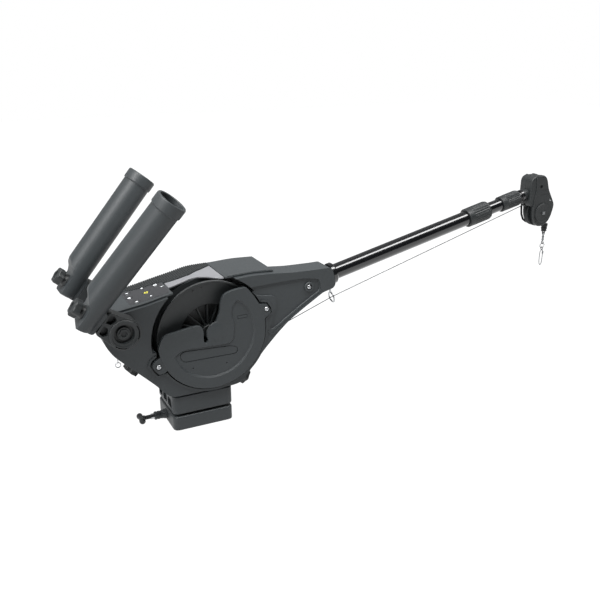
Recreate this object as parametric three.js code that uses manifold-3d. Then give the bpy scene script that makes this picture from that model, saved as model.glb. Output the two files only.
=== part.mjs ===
// Downrigger: an electric winch for a fishing boat, with its swivel base, its spool of steel cable,
// a telescoping boom with a pulley head, two rod holders and the snap that carries the weight.
// Lengths are millimetres and angles are degrees. +X runs along the boom, +Y runs away from the
// spool cover, +Z is up, and the origin is the middle of the base's underside.
import * as THREE from "three";
import { mergeVertices } from "three/addons/utils/BufferGeometryUtils.js";
import Module from "manifold-3d";

// Gaps
const touchGap = 0.3; // left between pieces that touch
const runGap = 1; // left round pieces that turn
const overrun = 2; // how far a cut reaches past the face that it opens

// Base plate, bolted to the boat
const baseLength = 118;
const baseWidth = 106;
const baseHeight = 28;
const baseCorner = 12;
const baseFloor = 6;
const deckBoltRadius = 3.4;
const deckBoltInset = 13;

// Swivel bracket on the base plate
const bracketRise = 4; // open joint between the base plate and the bracket
const bracketHeight = 38;
const trayDepth = 8;
const trayWall = 7;
const hubRadius = 43;
const pivotRadius = 5;
const pivotHeadRadius = 9;
const pivotHeadHeight = 6;
const pivotBite = 4; // how deep the pivot bolt's end sits in the base plate's floor

// Lock pin of the swivel
const pinRadius = 4;
const pinBossRadius = 8;
const pinBossLength = 24;
const pinNutRadius = 5.5;
const pinNutLength = 7;
const pinReach = 26; // from the boss to the handle
const pinHandleLength = 30;
const pinHandleRadius = 6;
const detentDepth = 8;
const detentCount = 8;

// Place of the spool, seen from the base's centre
const spoolX = 21;
const spoolZ = 184;
const spoolY = -36;

// Spool
const flangeRadius = 102;
const flangeThickness = 2.5;
const spoolInnerWidth = 40; // twice the distance from the cable's plane to the far flange
const spoolSetback = 8; // of the rim lip behind the housing's near face
const rimLipWidth = 4.5;
const rimLipDepth = 2;
const flangeDish = 8; // how far the near flange slopes in from its rim to the hub
const coreRadius = 58;
const hubRecessRadius = 54;
const hubRecessDepth = 12;
const finCount = 8;
const finThickness = 3;
const shaftRadius = 6;
const shaftSleeve = 7; // wall of the spool's centre sleeve

// Cable and its winding
const wireRadius = 0.8;
const windingRadius = 64;
const windingLoops = 7;
const windingEdge = 1.6; // bare core beside each flange
const loopSteps = 18;
const loopSides = 5;
const wireSides = 6;

// Housing of two halves
const wall = 4;
const nearFace = -58; // the face that the spool cover lies on
const farFace = 62;
const wellClearance = 6; // between the spool's flange and the well around it
const wellWall = 3.5;
const tailReach = 199;
const shoulderReach = 137;
const topRise = 102.7;
const bottomDrop = 110;
const plateThickness = 3;

// Boom socket, measured from the spool's centre
const socketReach = 255;
const socketRise = 75.8;
const boomTilt = 13.34;
const socketRadius = 21.5;
const pocketDepth = 3;
const boomScrewBack = 56; // from the mouth of the socket

// Boom tubes, measured from the mouth of the socket
const outerRadius = 15.5;
const outerWall = 1.5;
const outerInside = 90; // length of the outer tube inside the socket
const outerLength = 352; // length of the outer tube outside the socket
const middleRadius = 13.3;
const middleWall = 1.4;
const middleInside = 80;
const middleBare = 35.44; // bare tube between the two collars
const innerRadius = 11.3;
const innerWall = 1.5;
const innerInside = 76;
const innerBare = 6; // bare tube between the second collar and the tip
const rootRingRadius = 21.5;
const rootRingLength = 11;
const rootRingChamfer = 3;
const collarRadius1 = 21.2;
const collarLength1 = 56;
const collarRadius2 = 18;
const collarLength2 = 50;
const collarLapShare = 0.24; // of a collar's length, over its own tube
const collarLip = 4; // plain end past the ribs
const collarRibCount = 20;
const collarRibDepth = 0.9;
const tipFlangeRadius = 13.5;
const tipFlangeLength = 6;
const spigotRadius = 8;
const spigotLength = 30;

// Guide eye under the socket
const eyeDrop = 49;
const eyeBack = 5.4;
const eyeRadius = 10.5;
const eyeWire = 1.6;
const eyeStemRadius = 2.2;
const eyeNutRadius = 5;
const eyeNutLength = 4.5;
const eyeBite = 4.5;

// Pulley head
const pulleyAhead = 44; // past the end of the inner tube
const pulleyDrop = 49.4; // below the boom's axis
const rimRadius = 32;
const grooveRadius = 27.5;
const wheelWidth = 11;
const wheelBore = 4.3;
const headHalf = 18.5;
const headLeft = 39;
const headRight = 33;
const headTop = 82;
const headBottom = 31;
const cavityRadius = 35;
const cavityHalf = 6.5;
const axleHeadRadius = 6.5;
const axleHeadHeight = 2.6;
const discRadius = 21.5;
const discHeight = 2.2;
const neckRadius = 12.5;
const neckLength = 24;
const headSlotShare = 0.85; // where the cable's slot starts, of its run to the pulley

// Terminal hanging from the cable
const bootLength = 18;
const bootTopRadius = 7.5;
const bootBottomRadius = 6;
const loopRadius = 3.6;
const loopWire = 1.1;
const eyeletRadius = 3;
const eyeletWire = 1;
const barrelRadius = 2.6;
const barrelLength = 15;
const ringRadius = 6;
const ringWire = 0.9;
const snapLength = 38;
const snapHalfWidth = 4.4;
const snapWire = 1.1;
const snapCornerShare = 1.2; // height of the snap's slanted corners, of its half width

// Rod holders
const armInset = 30; // from the housing's tail end to the rod holders' shaft
const armZ = 231;
const armOffset = 88; // from the object's middle plane to each rod tube
const armHalf = 17;
const armHubRadius = 28;
const armHubBore = 20;
const armHubRecess = 12;
const armDepth = 22;
const armWidth = 15;
const armTubeGap = 2;
const pivotShaftRadius = 6;
const pivotBossRadius = 20;
const tubeOffset = 70;
const tubeRadius = 25;
const tubeBore = 22;
const tubeFoot = 24;
const tubeTop = 238;
const tubeFloor = 52;
const lipRadius = 27;
const lipLength = 19;
const scoopWeb = 6; // from the tube's axis to the flat behind it
const scoopRise = 28;
const nearTilt = 53;
const nearLean = 13.4;
const farTilt = 50;
const farLean = -2;
const studRadius = 4;
const studBite = 12;
const washerLength = 9;
const washerRadius = 12;
const washerTip = 8;
const knobRadius = 16;
const knobLength = 12;
const knobLobes = 6;
const knobLobeShare = 0.14; // depth of the grip's hollows, of the knob's radius

// Clamp knobs under the housing
const clampBite = 5;
const clampStandoff = 10;
const clampRightShare = 0.19; // place along the slanted wall that it screws into
const clampLeftShare = 0.61;
const clampRightY = -20;
const clampLeftY = 35;

// Drive inside the housing
const gearRadius = 46;
const gearWidth = 9;
const gearTeeth = 46;
const pinionTeeth = 14;
const toothDepthShare = 0.045; // of the gear's radius
const bearingRadius = 13;
const bearingWidth = 7;
const motorRadius = 24;
const gearboxRadius = 20;
const gearboxLength = 17;
const motorShaftRadius = 4;
const gearboxGap = 4; // from the gears to the gearbox
const motorShaftBite = 8; // how deep the pinion's shaft sits in the gearbox
const motorSide = 190; // bearing of the motor from the spool's centre
const boardBackShare = 0.6; // places of the board and the inlet, of the housing's reach and rise
const boardRiseShare = 0.25;
const inletDropShare = 0.3;
const boardLength = 58;
const boardHeight = 48;
const boardPost = 6;
const boardPostRadius = 3;
const boardThickness = 1.6;
const inletRadius = 11;
const inletLength = 14;
const inletFlange = 3;
const inletFlangeRadius = 15;

// Spool cover
const coverRadius = 104;
const coverThickness = 6.2;
const coverSkin = 3.2;
const tabRadius = 8;
const tabCircle = 113;
const tabAngleRight = 18.3;
const tabAngleLeft = 201.7;
const screwRadius = 2.4;
const screwHeadRadius = 4.4;
const screwHeadHeight = 2.2;
const screwLength = 16;
const coverStart = 172; // bearing of the cover's straight-on edge, and how far it runs round
const coverSweep = 218;
const tabBridgeShare = 0.85; // where a tab's neck starts, of the screw's distance
const coverGrooveShare = 0.81; // of the cover's radius
const coverGrooveWidth = 3;
const coverGrooveDepth = 1.2;

// Keypad, label plate and top cover
const keypadLeftShare = 0.9; // ends of the top plates, of the housing's reach on that side
const keypadRightShare = 0.337;
const labelRightShare = 0.19;
const roofLeftShare = 0.265;
const roofRightShare = 0.945;
const panelNearY = -50;
const roofNearY = -46;
const panelFarY = 42;
const roofFarY = 58;
const plateGap = 1.5;
const buttonRadius = 6.5;
const buttonRise = 0.4;
const buttonFloat = 0.9;

// Lanyard ring at the housing's lower corner
const lanyardRadius = 4.6;
const lanyardWire = 0.9;
const lanyardStem = 16;
const lanyardY = -46;
const lanyardBackShare = 0.87; // of the housing's reach
const lanyardDropShare = 0.235; // of the housing's drop

// Facets
const coarse = 10;
const medium = 20;
const fine = 36;
const tubeSides = 27;

// Worked-out places
const degrees = Math.PI / 180;
const splitPlane = spoolY + spoolInnerWidth / 2 + flangeThickness + runGap + wellWall;
const wellFloor = splitPlane - wellWall;
const wellRadius = flangeRadius + wellClearance;
const bracketBottom = baseHeight + bracketRise;
const bracketTop = bracketBottom + bracketHeight;
const footBottom = bracketTop - trayDepth + touchGap;
const housingBottom = spoolZ - bottomDrop;
const tiltCos = Math.cos(boomTilt * degrees);
const tiltSin = Math.sin(boomTilt * degrees);
const collarEnd1 = outerLength + collarLength1 * (1 - collarLapShare);
const middleEnd = collarEnd1 + middleBare + collarLength2 * collarLapShare;
const innerEnd = middleEnd + collarLength2 * (1 - collarLapShare) + innerBare;
const rootX = spoolX + socketReach;
const rootZ = spoolZ + socketRise;

const wasm = await Module();
wasm.setup();

// A closed three.js geometry as a solid that can be joined and cut.
function solid(geometry) {
  const bare = geometry.clone();
  bare.deleteAttribute("normal");
  bare.deleteAttribute("uv");
  const merged = mergeVertices(bare);
  return new wasm.Manifold(
    new wasm.Mesh({
      numProp: 3,
      vertProperties: new Float32Array(merged.attributes.position.array),
      triVerts: new Uint32Array(merged.index.array),
    }),
  );
}

// A solid back as a geometry with flat faces.
function geometryOf(body) {
  const mesh = body.getMesh();
  const geometry = new THREE.BufferGeometry();
  geometry.setAttribute("position", new THREE.BufferAttribute(mesh.vertProperties, 3));
  geometry.setIndex(new THREE.BufferAttribute(mesh.triVerts, 1));
  const flat = geometry.toNonIndexed();
  flat.computeVertexNormals();
  return flat;
}

function piece(name, body, material) {
  const mesh = new THREE.Mesh(body.isBufferGeometry ? body : geometryOf(body), material.clone());
  mesh.name = name;
  return mesh;
}

function union(...bodies) {
  return bodies.reduce((sum, body) => sum.add(body));
}

function cut(body, ...tools) {
  return tools.reduce((rest, tool) => rest.subtract(tool), body);
}

// A box between two corners.
function box(x0, x1, y0, y1, z0, z1) {
  const geometry = new THREE.BoxGeometry(x1 - x0, y1 - y0, z1 - z0);
  return solid(geometry.translate((x0 + x1) / 2, (y0 + y1) / 2, (z0 + z1) / 2));
}

// A round bar along Y at x, z, from y0 to y1, with an end radius of its own if it tapers.
function barY(x, z, y0, y1, radius, sides = medium, endRadius = radius) {
  const geometry = new THREE.CylinderGeometry(endRadius, radius, y1 - y0, sides);
  return solid(geometry.translate(x, (y0 + y1) / 2, z));
}

// A round bar along Z at x, y, from z0 to z1.
function barZ(x, y, z0, z1, radius, sides = medium, topRadius = radius) {
  const geometry = new THREE.CylinderGeometry(topRadius, radius, z1 - z0, sides);
  return solid(geometry.rotateX(90 * degrees).translate(x, y, (z0 + z1) / 2));
}

// A round bar along X at y, z, from x0 to x1.
function barX(y, z, x0, x1, radius, sides = medium, endRadius = radius) {
  const geometry = new THREE.CylinderGeometry(endRadius, radius, x1 - x0, sides);
  return solid(geometry.rotateZ(-90 * degrees).translate((x0 + x1) / 2, y, z));
}

// A round straight bar between two points of the plane y, given as [x, z].
function barBetween(from, to, y, radius, sides) {
  const length = Math.hypot(to[0] - from[0], to[1] - from[1]);
  const turn = Math.atan2(to[1] - from[1], to[0] - from[0]);
  const geometry = new THREE.CylinderGeometry(radius, radius, length, sides);
  geometry.rotateZ(-90 * degrees).rotateY(-turn);
  return solid(geometry.translate((from[0] + to[0]) / 2, y, (from[1] + to[1]) / 2));
}

// An outline of [x, z] points as a plate from y0 to y1.
function plate(points, y0, y1) {
  const shape = new THREE.Shape(points.map(([x, z]) => new THREE.Vector2(x, z)));
  const geometry = new THREE.ExtrudeGeometry(shape, { depth: y1 - y0, bevelEnabled: false });
  return solid(geometry.rotateX(90 * degrees).translate(0, y1, 0));
}

// An outline of [x, y] points as a block from z0 to z1.
function block(points, z0, z1) {
  const shape = new THREE.Shape(points.map(([x, y]) => new THREE.Vector2(x, y)));
  const geometry = new THREE.ExtrudeGeometry(shape, { depth: z1 - z0, bevelEnabled: false });
  return solid(geometry.translate(0, 0, z0));
}

// An outline of [y, z] points as a bar from x0 to x1.
function bar(points, x0, x1) {
  const shape = new THREE.Shape(points.map(([y, z]) => new THREE.Vector2(y, z)));
  const geometry = new THREE.ExtrudeGeometry(shape, { depth: x1 - x0, bevelEnabled: false });
  return solid(geometry.rotateX(90 * degrees).rotateZ(90 * degrees).translate(x0, 0, 0));
}

// A ring of round wire that lies in the XZ plane.
function wireRing(radius, wire) {
  return solid(new THREE.TorusGeometry(radius, wire, wireSides, 2 * coarse).rotateX(90 * degrees));
}

function roundedRectangle(length, width, corner) {
  const points = [];
  const steps = 4;
  for (const [sx, sy, start] of [[1, 1, 0], [-1, 1, 90], [-1, -1, 180], [1, -1, 270]]) {
    for (let i = 0; i <= steps; i++) {
      const angle = (start + (90 * i) / steps) * degrees;
      points.push([
        sx * (length / 2 - corner) + corner * Math.cos(angle),
        sy * (width / 2 - corner) + corner * Math.sin(angle),
      ]);
    }
  }
  return points;
}

function circlePoints(radius, sides, x = 0, z = 0) {
  return Array.from({ length: sides }, (_, i) => {
    const angle = (2 * Math.PI * i) / sides;
    return [x + radius * Math.cos(angle), z + radius * Math.sin(angle)];
  });
}

// A wavy round outline: lobes of a grip knob, teeth of a gear, ribs of a collar.
function lobedPoints(radius, lobes, depth, perLobe) {
  return Array.from({ length: lobes * perLobe }, (_, i) => {
    const angle = (2 * Math.PI * i) / (lobes * perLobe);
    const reach = radius - (depth * (1 - Math.cos(lobes * angle))) / 2;
    return [reach * Math.cos(angle), reach * Math.sin(angle)];
  });
}

// The outline moved inwards by a distance. The points run anticlockwise.
function inset(points, distance) {
  const count = points.length;
  return points.map(([x, z], i) => {
    const [px, pz] = points[(i + count - 1) % count];
    const [nx, nz] = points[(i + 1) % count];
    const before = Math.hypot(x - px, z - pz);
    const after = Math.hypot(nx - x, nz - z);
    const a = [-(z - pz) / before, (x - px) / before];
    const b = [-(nz - z) / after, (nx - x) / after];
    const scale = distance / (1 + a[0] * b[0] + a[1] * b[1]);
    return [x + (a[0] + b[0]) * scale, z + (a[1] + b[1]) * scale];
  });
}

// Materials
const plastic = new THREE.MeshStandardMaterial({ color: 0x3b3f41, roughness: 0.6, metalness: 0 });
const darkPlastic = new THREE.MeshStandardMaterial({ color: 0x26292a, roughness: 0.55, metalness: 0 });
const glossPlastic = new THREE.MeshStandardMaterial({ color: 0x1d1f21, roughness: 0.25, metalness: 0 });
const anodised = new THREE.MeshStandardMaterial({ color: 0x0d0e10, roughness: 0.18, metalness: 0.7 });
const steel = new THREE.MeshStandardMaterial({ color: 0xc4c6c8, roughness: 0.25, metalness: 1 });
const cableSteel = new THREE.MeshStandardMaterial({ color: 0x9a9c9e, roughness: 0.4, metalness: 1 });
const plateMetal = new THREE.MeshStandardMaterial({ color: 0x77777a, roughness: 0.4, metalness: 0.6 });
const keyLight = new THREE.MeshStandardMaterial({ color: 0x55585a, roughness: 0.4, metalness: 0 });
const keyAccent = new THREE.MeshStandardMaterial({ color: 0x9a8f2e, roughness: 0.4, metalness: 0 });
const boardGreen = new THREE.MeshStandardMaterial({ color: 0x1f5a34, roughness: 0.5, metalness: 0 });

const downrigger = new THREE.Group();

// Base plate: a block with a round well for the swivel's hub and four deck bolt holes.
function basePlate() {
  const body = union(
    block(roundedRectangle(baseLength, baseWidth, baseCorner), 0, baseHeight),
    barX(0, baseHeight / 2, -baseLength / 2 - pinBossLength, -baseLength / 2 + overrun, pinBossRadius, 8),
  );
  const well = barZ(0, 0, baseFloor, baseHeight + overrun, hubRadius + touchGap, fine);
  const pivotHole = barZ(0, 0, baseFloor - pivotBite - touchGap, baseHeight, pivotRadius + touchGap, coarse);
  const pinHole = barX(0, baseHeight / 2, -baseLength, -hubRadius, pinRadius + touchGap, coarse);
  const bolts = [];
  for (const sx of [-1, 1]) {
    for (const sy of [-1, 1]) {
      const x = sx * (baseLength / 2 - deckBoltInset);
      const y = sy * (baseWidth / 2 - deckBoltInset);
      bolts.push(barZ(x, y, -overrun, baseHeight + overrun, deckBoltRadius, coarse));
    }
  }
  return piece("base_plate", cut(body, well, pivotHole, pinHole, ...bolts), plastic);
}

// Swivel bracket: a tray that takes the housing's foot, on a round hub with detents for the lock pin.
function swivelBracket() {
  const outline = roundedRectangle(baseLength, baseWidth, baseCorner);
  const hubBottom = baseFloor + touchGap;
  const body = union(
    block(outline, bracketBottom, bracketTop),
    barZ(0, 0, hubBottom, bracketBottom + overrun, hubRadius, fine),
  );
  const tray = block(
    roundedRectangle(baseLength - 2 * trayWall, baseWidth - 2 * trayWall, baseCorner / 2),
    bracketTop - trayDepth,
    bracketTop + overrun,
  );
  const bore = barZ(0, 0, 0, bracketTop, pivotRadius + touchGap, coarse);
  const headSeat = bracketTop - trayDepth - pivotHeadHeight - runGap;
  const headHole = barZ(0, 0, headSeat, bracketTop, pivotHeadRadius + touchGap, medium);
  const detents = [];
  for (let i = 0; i < detentCount; i++) {
    const outer = hubRadius + overrun;
    const notch = barX(0, baseHeight / 2, hubRadius - detentDepth, outer, pinRadius + touchGap, coarse);
    detents.push(notch.rotate([0, 0, (360 * i) / detentCount]));
  }
  return piece("swivel_bracket", cut(body, tray, bore, headHole, ...detents), plastic);
}

function pivotBolt() {
  const headBottom = bracketTop - trayDepth - pivotHeadHeight - runGap + touchGap;
  const body = union(
    barZ(0, 0, baseFloor - pivotBite, headBottom + overrun, pivotRadius, coarse),
    barZ(0, 0, headBottom, headBottom + pivotHeadHeight, pivotHeadRadius, 6),
  );
  return piece("pivot_bolt", body, steel);
}

// Lock pin: the nut on the base plate's boss, and the sprung pin with its cross handle.
function pinNut() {
  const right = -baseLength / 2 - touchGap - pinBossLength;
  const z = baseHeight / 2;
  const body = barX(0, z, right - pinNutLength, right, pinNutRadius, 6);
  const bore = barX(0, z, right - pinNutLength - overrun, right + overrun, pinRadius + touchGap, coarse);
  return piece("pin_nut", cut(body, bore), steel);
}

function lockPin() {
  const tip = -hubRadius - 2 * touchGap;
  const z = baseHeight / 2;
  const handle = -baseLength / 2 - pinBossLength - pinReach;
  const body = union(
    barX(0, z, handle, tip, pinRadius, coarse),
    barY(handle, z, -pinHandleLength / 2, pinHandleLength / 2, pinHandleRadius, 8),
  );
  return piece("lock_pin", body, darkPlastic);
}

// Housing outline round the spool's centre, anticlockwise, as shares of the reach on each side,
// of the rise above the centre and of the drop below it.
const tailShares = [
  [-0.05, 0.965],
  [-0.191, 0.895],
  [-0.392, 0.815],
  [-0.588, 0.727],
  [-0.905, 0.635],
  [-0.966, 0.555],
  [-0.998, 0.37],
  [-0.99, 0.185],
  [-0.92, -0.064],
  [-0.709, -0.445],
  [-0.548, -0.736],
  [-0.482, -0.891],
  [-0.412, -1],
];
const rightUnderShares = [
  [0.285, -1],
  [0.416, -0.964],
  [0.547, -0.764],
  [0.723, -0.49],
];
const rearRightShares = [
  [0.942, 0.058],
  [1.015, 0.545],
  [1, 0.93],
];
const shoulderTopShares = [
  [0.95, 0.98],
  [0.613, 1],
  [0.307, 0.976],
];
const armUnderShares = [
  [0.45, -0.34],
  [0.53, -0.155],
  [0.62, 0.03],
  [0.71, 0.185],
  [0.89, 0.46],
];
const armTopShares = [
  [0.9, 0.935],
  [0.66, 0.945],
];

function aroundSpool(shares, right) {
  return shares.map(([u, v]) => [
    spoolX + u * (u < 0 ? tailReach : right),
    spoolZ + v * (v < 0 ? bottomDrop : topRise),
  ]);
}

const socketTop = [rootX - socketRadius * tiltSin, rootZ + socketRadius * tiltCos];
const socketBottom = [rootX + socketRadius * tiltSin, rootZ - socketRadius * tiltCos];
const rearOutline = [
  ...aroundSpool(tailShares, shoulderReach),
  ...aroundSpool(rightUnderShares, shoulderReach),
  ...aroundSpool(rearRightShares, shoulderReach),
  ...aroundSpool(shoulderTopShares, shoulderReach),
];
const nearOutline = [
  ...aroundSpool(tailShares, socketReach),
  ...aroundSpool(rightUnderShares, shoulderReach),
  ...aroundSpool(armUnderShares, socketReach),
  socketBottom,
  socketTop,
  ...aroundSpool(armTopShares, socketReach),
  ...aroundSpool(shoulderTopShares, shoulderReach),
];
const tailCavityShares = [
  [-0.6, 0.66],
  [-0.9, 0.57],
  [-0.96, 0.35],
  [-0.87, -0.05],
  [-0.68, -0.36],
  [-0.615, -0.05],
  [-0.59, 0.3],
];

// The boom's frame: its local X runs out along the boom from the mouth of the socket.
function onBoom(body) {
  return body.rotate([0, -boomTilt, 0]).translate([rootX, spoolY, rootZ]);
}

// Where the cable leaves the winding for the guide eye.
const eyeX = rootX - eyeBack * tiltCos + eyeDrop * tiltSin;
const eyeZ = rootZ - eyeBack * tiltSin - eyeDrop * tiltCos;
function leavePoint() {
  const radius = windingRadius + wireRadius + touchGap;
  const reach = Math.hypot(eyeX - spoolX, eyeZ - spoolZ);
  const bearing = Math.atan2(eyeZ - spoolZ, eyeX - spoolX);
  const angle = bearing - Math.acos(radius / reach);
  return [spoolX + radius * Math.cos(angle), spoolZ + radius * Math.sin(angle)];
}

// Screws of the spool cover, as [x, z].
const screwPlaces = [tabAngleRight, tabAngleLeft].map((angle) => [
  spoolX + tabCircle * Math.cos(angle * degrees),
  spoolZ + tabCircle * Math.sin(angle * degrees),
]);
const boomScrewX = rootX - boomScrewBack * tiltCos;
const boomScrewZ = rootZ - boomScrewBack * tiltSin;
const pocketShares = [
  [0.56, 0.72],
  [0.5, 0.12],
  [0.58, 0.12],
  [0.82, 0.5],
  [0.9, 0.62],
  [0.86, 0.82],
];
const coverFront = nearFace - touchGap - coverThickness;
const bearingEnd = wellFloor + 2 * touchGap + bearingWidth;
const gearNear = bearingEnd + runGap;
const gearFar = gearNear + gearWidth;
const pinionRadius = (gearRadius * pinionTeeth) / gearTeeth;
const motorX = spoolX + (gearRadius + pinionRadius + touchGap) * Math.cos(motorSide * degrees);
const motorZ = spoolZ + (gearRadius + pinionRadius + touchGap) * Math.sin(motorSide * degrees);
const farWall = farFace - wall;
const boardX = spoolX - boardBackShare * tailReach;
const boardZ = spoolZ + boardRiseShare * topRise;
const inletX = spoolX - boardBackShare * tailReach;
const inletZ = spoolZ - inletDropShare * bottomDrop;
const armX = spoolX - tailReach + armInset;
const lanyardX = spoolX - lanyardBackShare * tailReach;
const lanyardZ = spoolZ - lanyardDropShare * bottomDrop;

// Near half of the housing: the spool's well, the boom socket and the near pivot boss.
function housingNear() {
  const body = union(
    plate(nearOutline, nearFace, splitPlane - touchGap),
    barY(armX, armZ, armHalf - armOffset + touchGap, nearFace + overrun, pivotBossRadius),
    barY(spoolX, spoolZ, wellFloor, bearingEnd, bearingRadius + wall),
  );
  const [[rightX, rightZ], [leftX, leftZ]] = screwPlaces;
  const screwEnd = coverFront + screwLength + touchGap;
  const eyeHoleTop = eyeBite - socketRadius + touchGap;
  const lanyardHoleTop = lanyardZ + lanyardStem + touchGap;
  return piece(
    "housing_near",
    cut(
      body,
      barY(spoolX, spoolZ, nearFace - overrun, wellFloor, wellRadius, fine),
      barY(spoolX, spoolZ, wellFloor - overrun, bearingEnd + overrun, bearingRadius + touchGap),
      plate(aroundSpool(tailCavityShares, socketReach), nearFace + wall, splitPlane + overrun),
      barY(armX, armZ, -armOffset, splitPlane, pivotShaftRadius + touchGap, coarse),
      plate(aroundSpool(pocketShares, socketReach), nearFace - overrun, nearFace + pocketDepth),
      onBoom(barX(0, 0, -outerInside - touchGap, overrun, outerRadius + touchGap)),
      barBetween(leavePoint(), [eyeX, eyeZ], spoolY, wireRadius + overrun, wireSides),
      barY(boomScrewX, boomScrewZ, nearFace, spoolY, screwRadius + touchGap, coarse),
      barY(rightX, rightZ, nearFace - overrun, screwEnd, screwRadius + touchGap, coarse),
      barY(leftX, leftZ, nearFace - overrun, screwEnd, screwRadius + touchGap, coarse),
      onBoom(barZ(-eyeBack, 0, -socketRadius - overrun, eyeHoleTop, eyeStemRadius + touchGap, coarse)),
      clampCut(rightWall, clampRightShare, clampRightY),
      barZ(lanyardX, lanyardY, lanyardZ - lanyardStem, lanyardHoleTop, lanyardWire + touchGap, 8),
    ),
    plastic,
  );
}

// Rear half: an open box that holds the drive, with the far pivot boss and the board's posts.
function housingRear() {
  const posts = [];
  for (const sx of [-1, 1]) {
    for (const sz of [-1, 1]) {
      const x = boardX + sx * (boardLength / 2 - 2 * boardPostRadius);
      const z = boardZ + sz * (boardHeight / 2 - 2 * boardPostRadius);
      posts.push(barY(x, z, farWall - boardPost, farWall + overrun, boardPostRadius, 8));
    }
  }
  const shell = cut(
    plate(rearOutline, splitPlane, farFace),
    plate(inset(rearOutline, wall), splitPlane - overrun, farWall),
  );
  const body = union(
    shell,
    ...posts,
    barY(armX, armZ, farFace - overrun, armOffset - armHalf - touchGap, pivotBossRadius),
    barY(spoolX, spoolZ, farWall - bearingWidth, farWall + overrun / 2, bearingRadius + wall),
  );
  return piece(
    "housing_rear",
    cut(
      body,
      barY(spoolX, spoolZ, farWall - bearingWidth - overrun, farWall, shaftRadius + touchGap),
      barY(armX, armZ, splitPlane, armOffset, pivotShaftRadius + touchGap, coarse),
      barY(inletX, inletZ, farWall - overrun, farFace + overrun, inletRadius + touchGap),
      clampCut(leftWall, clampLeftShare, clampLeftY),
    ),
    plastic,
  );
}

// Foot: the block under the housing that drops into the bracket's tray.
function housingFoot() {
  const length = baseLength - 2 * trayWall - 2 * touchGap;
  const width = baseWidth - 2 * trayWall - 2 * touchGap;
  const body = block(roundedRectangle(length, width, baseCorner / 2), footBottom, housingBottom - touchGap);
  const top = bracketTop - trayDepth - pivotHeadHeight;
  const headHole = barZ(0, 0, top, footBottom + overrun, pivotHeadRadius + touchGap);
  return piece("housing_foot", cut(body, headHole), darkPlastic);
}

// The slanted walls low on the housing, each as two outline points, and a frame on such a wall:
// a place on it and the direction that points out of it.
const rightWall = aroundSpool([rightUnderShares[1], rightUnderShares[2]], shoulderReach);
const leftWall = aroundSpool([tailShares[9], tailShares[10]], shoulderReach);

function wallFrame([from, to], share) {
  const x = from[0] + (to[0] - from[0]) * share;
  const z = from[1] + (to[1] - from[1]) * share;
  const turn = Math.atan2(to[1] - from[1], to[0] - from[0]) / degrees - 90;
  return { x, z, turn };
}

function onWall(body, walls, share, y) {
  const { x, z, turn } = wallFrame(walls, share);
  return body.rotate([0, -turn, 0]).translate([x, y, z]);
}

function clampCut(walls, share, y) {
  return onWall(barX(0, 0, -clampBite - touchGap, overrun, studRadius + touchGap, coarse), walls, share, y);
}

function gripKnob(x0, x1) {
  return bar(lobedPoints(knobRadius, knobLobes, knobRadius * knobLobeShare, 4), x0, x1);
}

function clampKnob(name, walls, share, y) {
  const body = union(
    barX(0, 0, -clampBite, clampStandoff + overrun, studRadius, coarse),
    gripKnob(clampStandoff, clampStandoff + knobLength),
  );
  return piece(name, onWall(body, walls, share, y), darkPlastic);
}

// The housing's top line, and plates that lie along it.
const roofShares = [...tailShares.slice(0, 5).toReversed(), ...shoulderTopShares.toReversed()];
const roofLine = aroundSpool(roofShares, shoulderReach);

function roofAt(x) {
  const i = Math.max(1, roofLine.findIndex(([px]) => px >= x));
  const [x0, z0] = roofLine[i - 1];
  const [x1, z1] = roofLine[i];
  return z0 + ((x - x0) / (x1 - x0)) * (z1 - z0);
}

function roofPlate(x0, x1, y0, y1) {
  const between = roofLine.map(([x]) => x).filter((x) => x > x0 && x < x1);
  const line = [x0, ...between, x1].map((x) => [x, roofAt(x) + touchGap]);
  const above = line.map(([x, z]) => [x, z + plateThickness]).reverse();
  return plate([...line, ...above], y0, y1);
}

const keypadLeft = spoolX - keypadLeftShare * tailReach;
const keypadRight = spoolX - keypadRightShare * tailReach;
const labelLeft = keypadRight + plateGap;
const labelRight = spoolX + labelRightShare * shoulderReach;
const roofLeft = spoolX + roofLeftShare * shoulderReach;
const roofRight = spoolX + roofRightShare * shoulderReach;

// Keys as [name, share along the keypad, share across it, material].
const keyShares = [
  ["key_down", 0.42, 0.78],
  ["key_stop", 0.4, 0.5],
  ["key_up", 0.46, 0.2],
  ["key_auto", 0.68, 0.5],
  ["key_power", 0.88, 0.72],
];

function keyPlace(along, across) {
  const x = keypadLeft + along * (keypadRight - keypadLeft);
  const y = panelNearY + across * (panelFarY - panelNearY);
  const slope = Math.atan2(roofAt(x + buttonRadius) - roofAt(x - buttonRadius), 2 * buttonRadius);
  return { x, y, z: roofAt(x) + touchGap, slope };
}

function keySolid({ x, y, z, slope }, from, to, radius) {
  const geometry = new THREE.CylinderGeometry(radius, radius, to - from, coarse);
  geometry.rotateX(90 * degrees).translate(0, 0, (from + to) / 2).rotateY(-slope).translate(x, y, z);
  return solid(geometry);
}

function keypad() {
  const holes = keyShares.map(([, along, across]) =>
    keySolid(keyPlace(along, across), -overrun, plateThickness + overrun, buttonRadius + touchGap),
  );
  const panel = roofPlate(keypadLeft, keypadRight, panelNearY, panelFarY);
  downrigger.add(piece("keypad_panel", cut(panel, ...holes), glossPlastic));
  for (const [name, along, across] of keyShares) {
    const key = keySolid(keyPlace(along, across), buttonFloat, plateThickness + buttonRise, buttonRadius);
    downrigger.add(piece(name, key, name === "key_auto" ? keyAccent : keyLight));
  }
}

// Spool, turned about Y: a near flange that slopes in behind a rim lip, a flat far flange, a core and
// a hub recess with fins. Heights run from the cable's plane.
function lathe(profile, x, y, z, sides = fine) {
  const points = profile.map(([r, h]) => new THREE.Vector2(r, h));
  return solid(new THREE.LatheGeometry([...points, points[0]], sides).translate(x, y, z));
}

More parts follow.
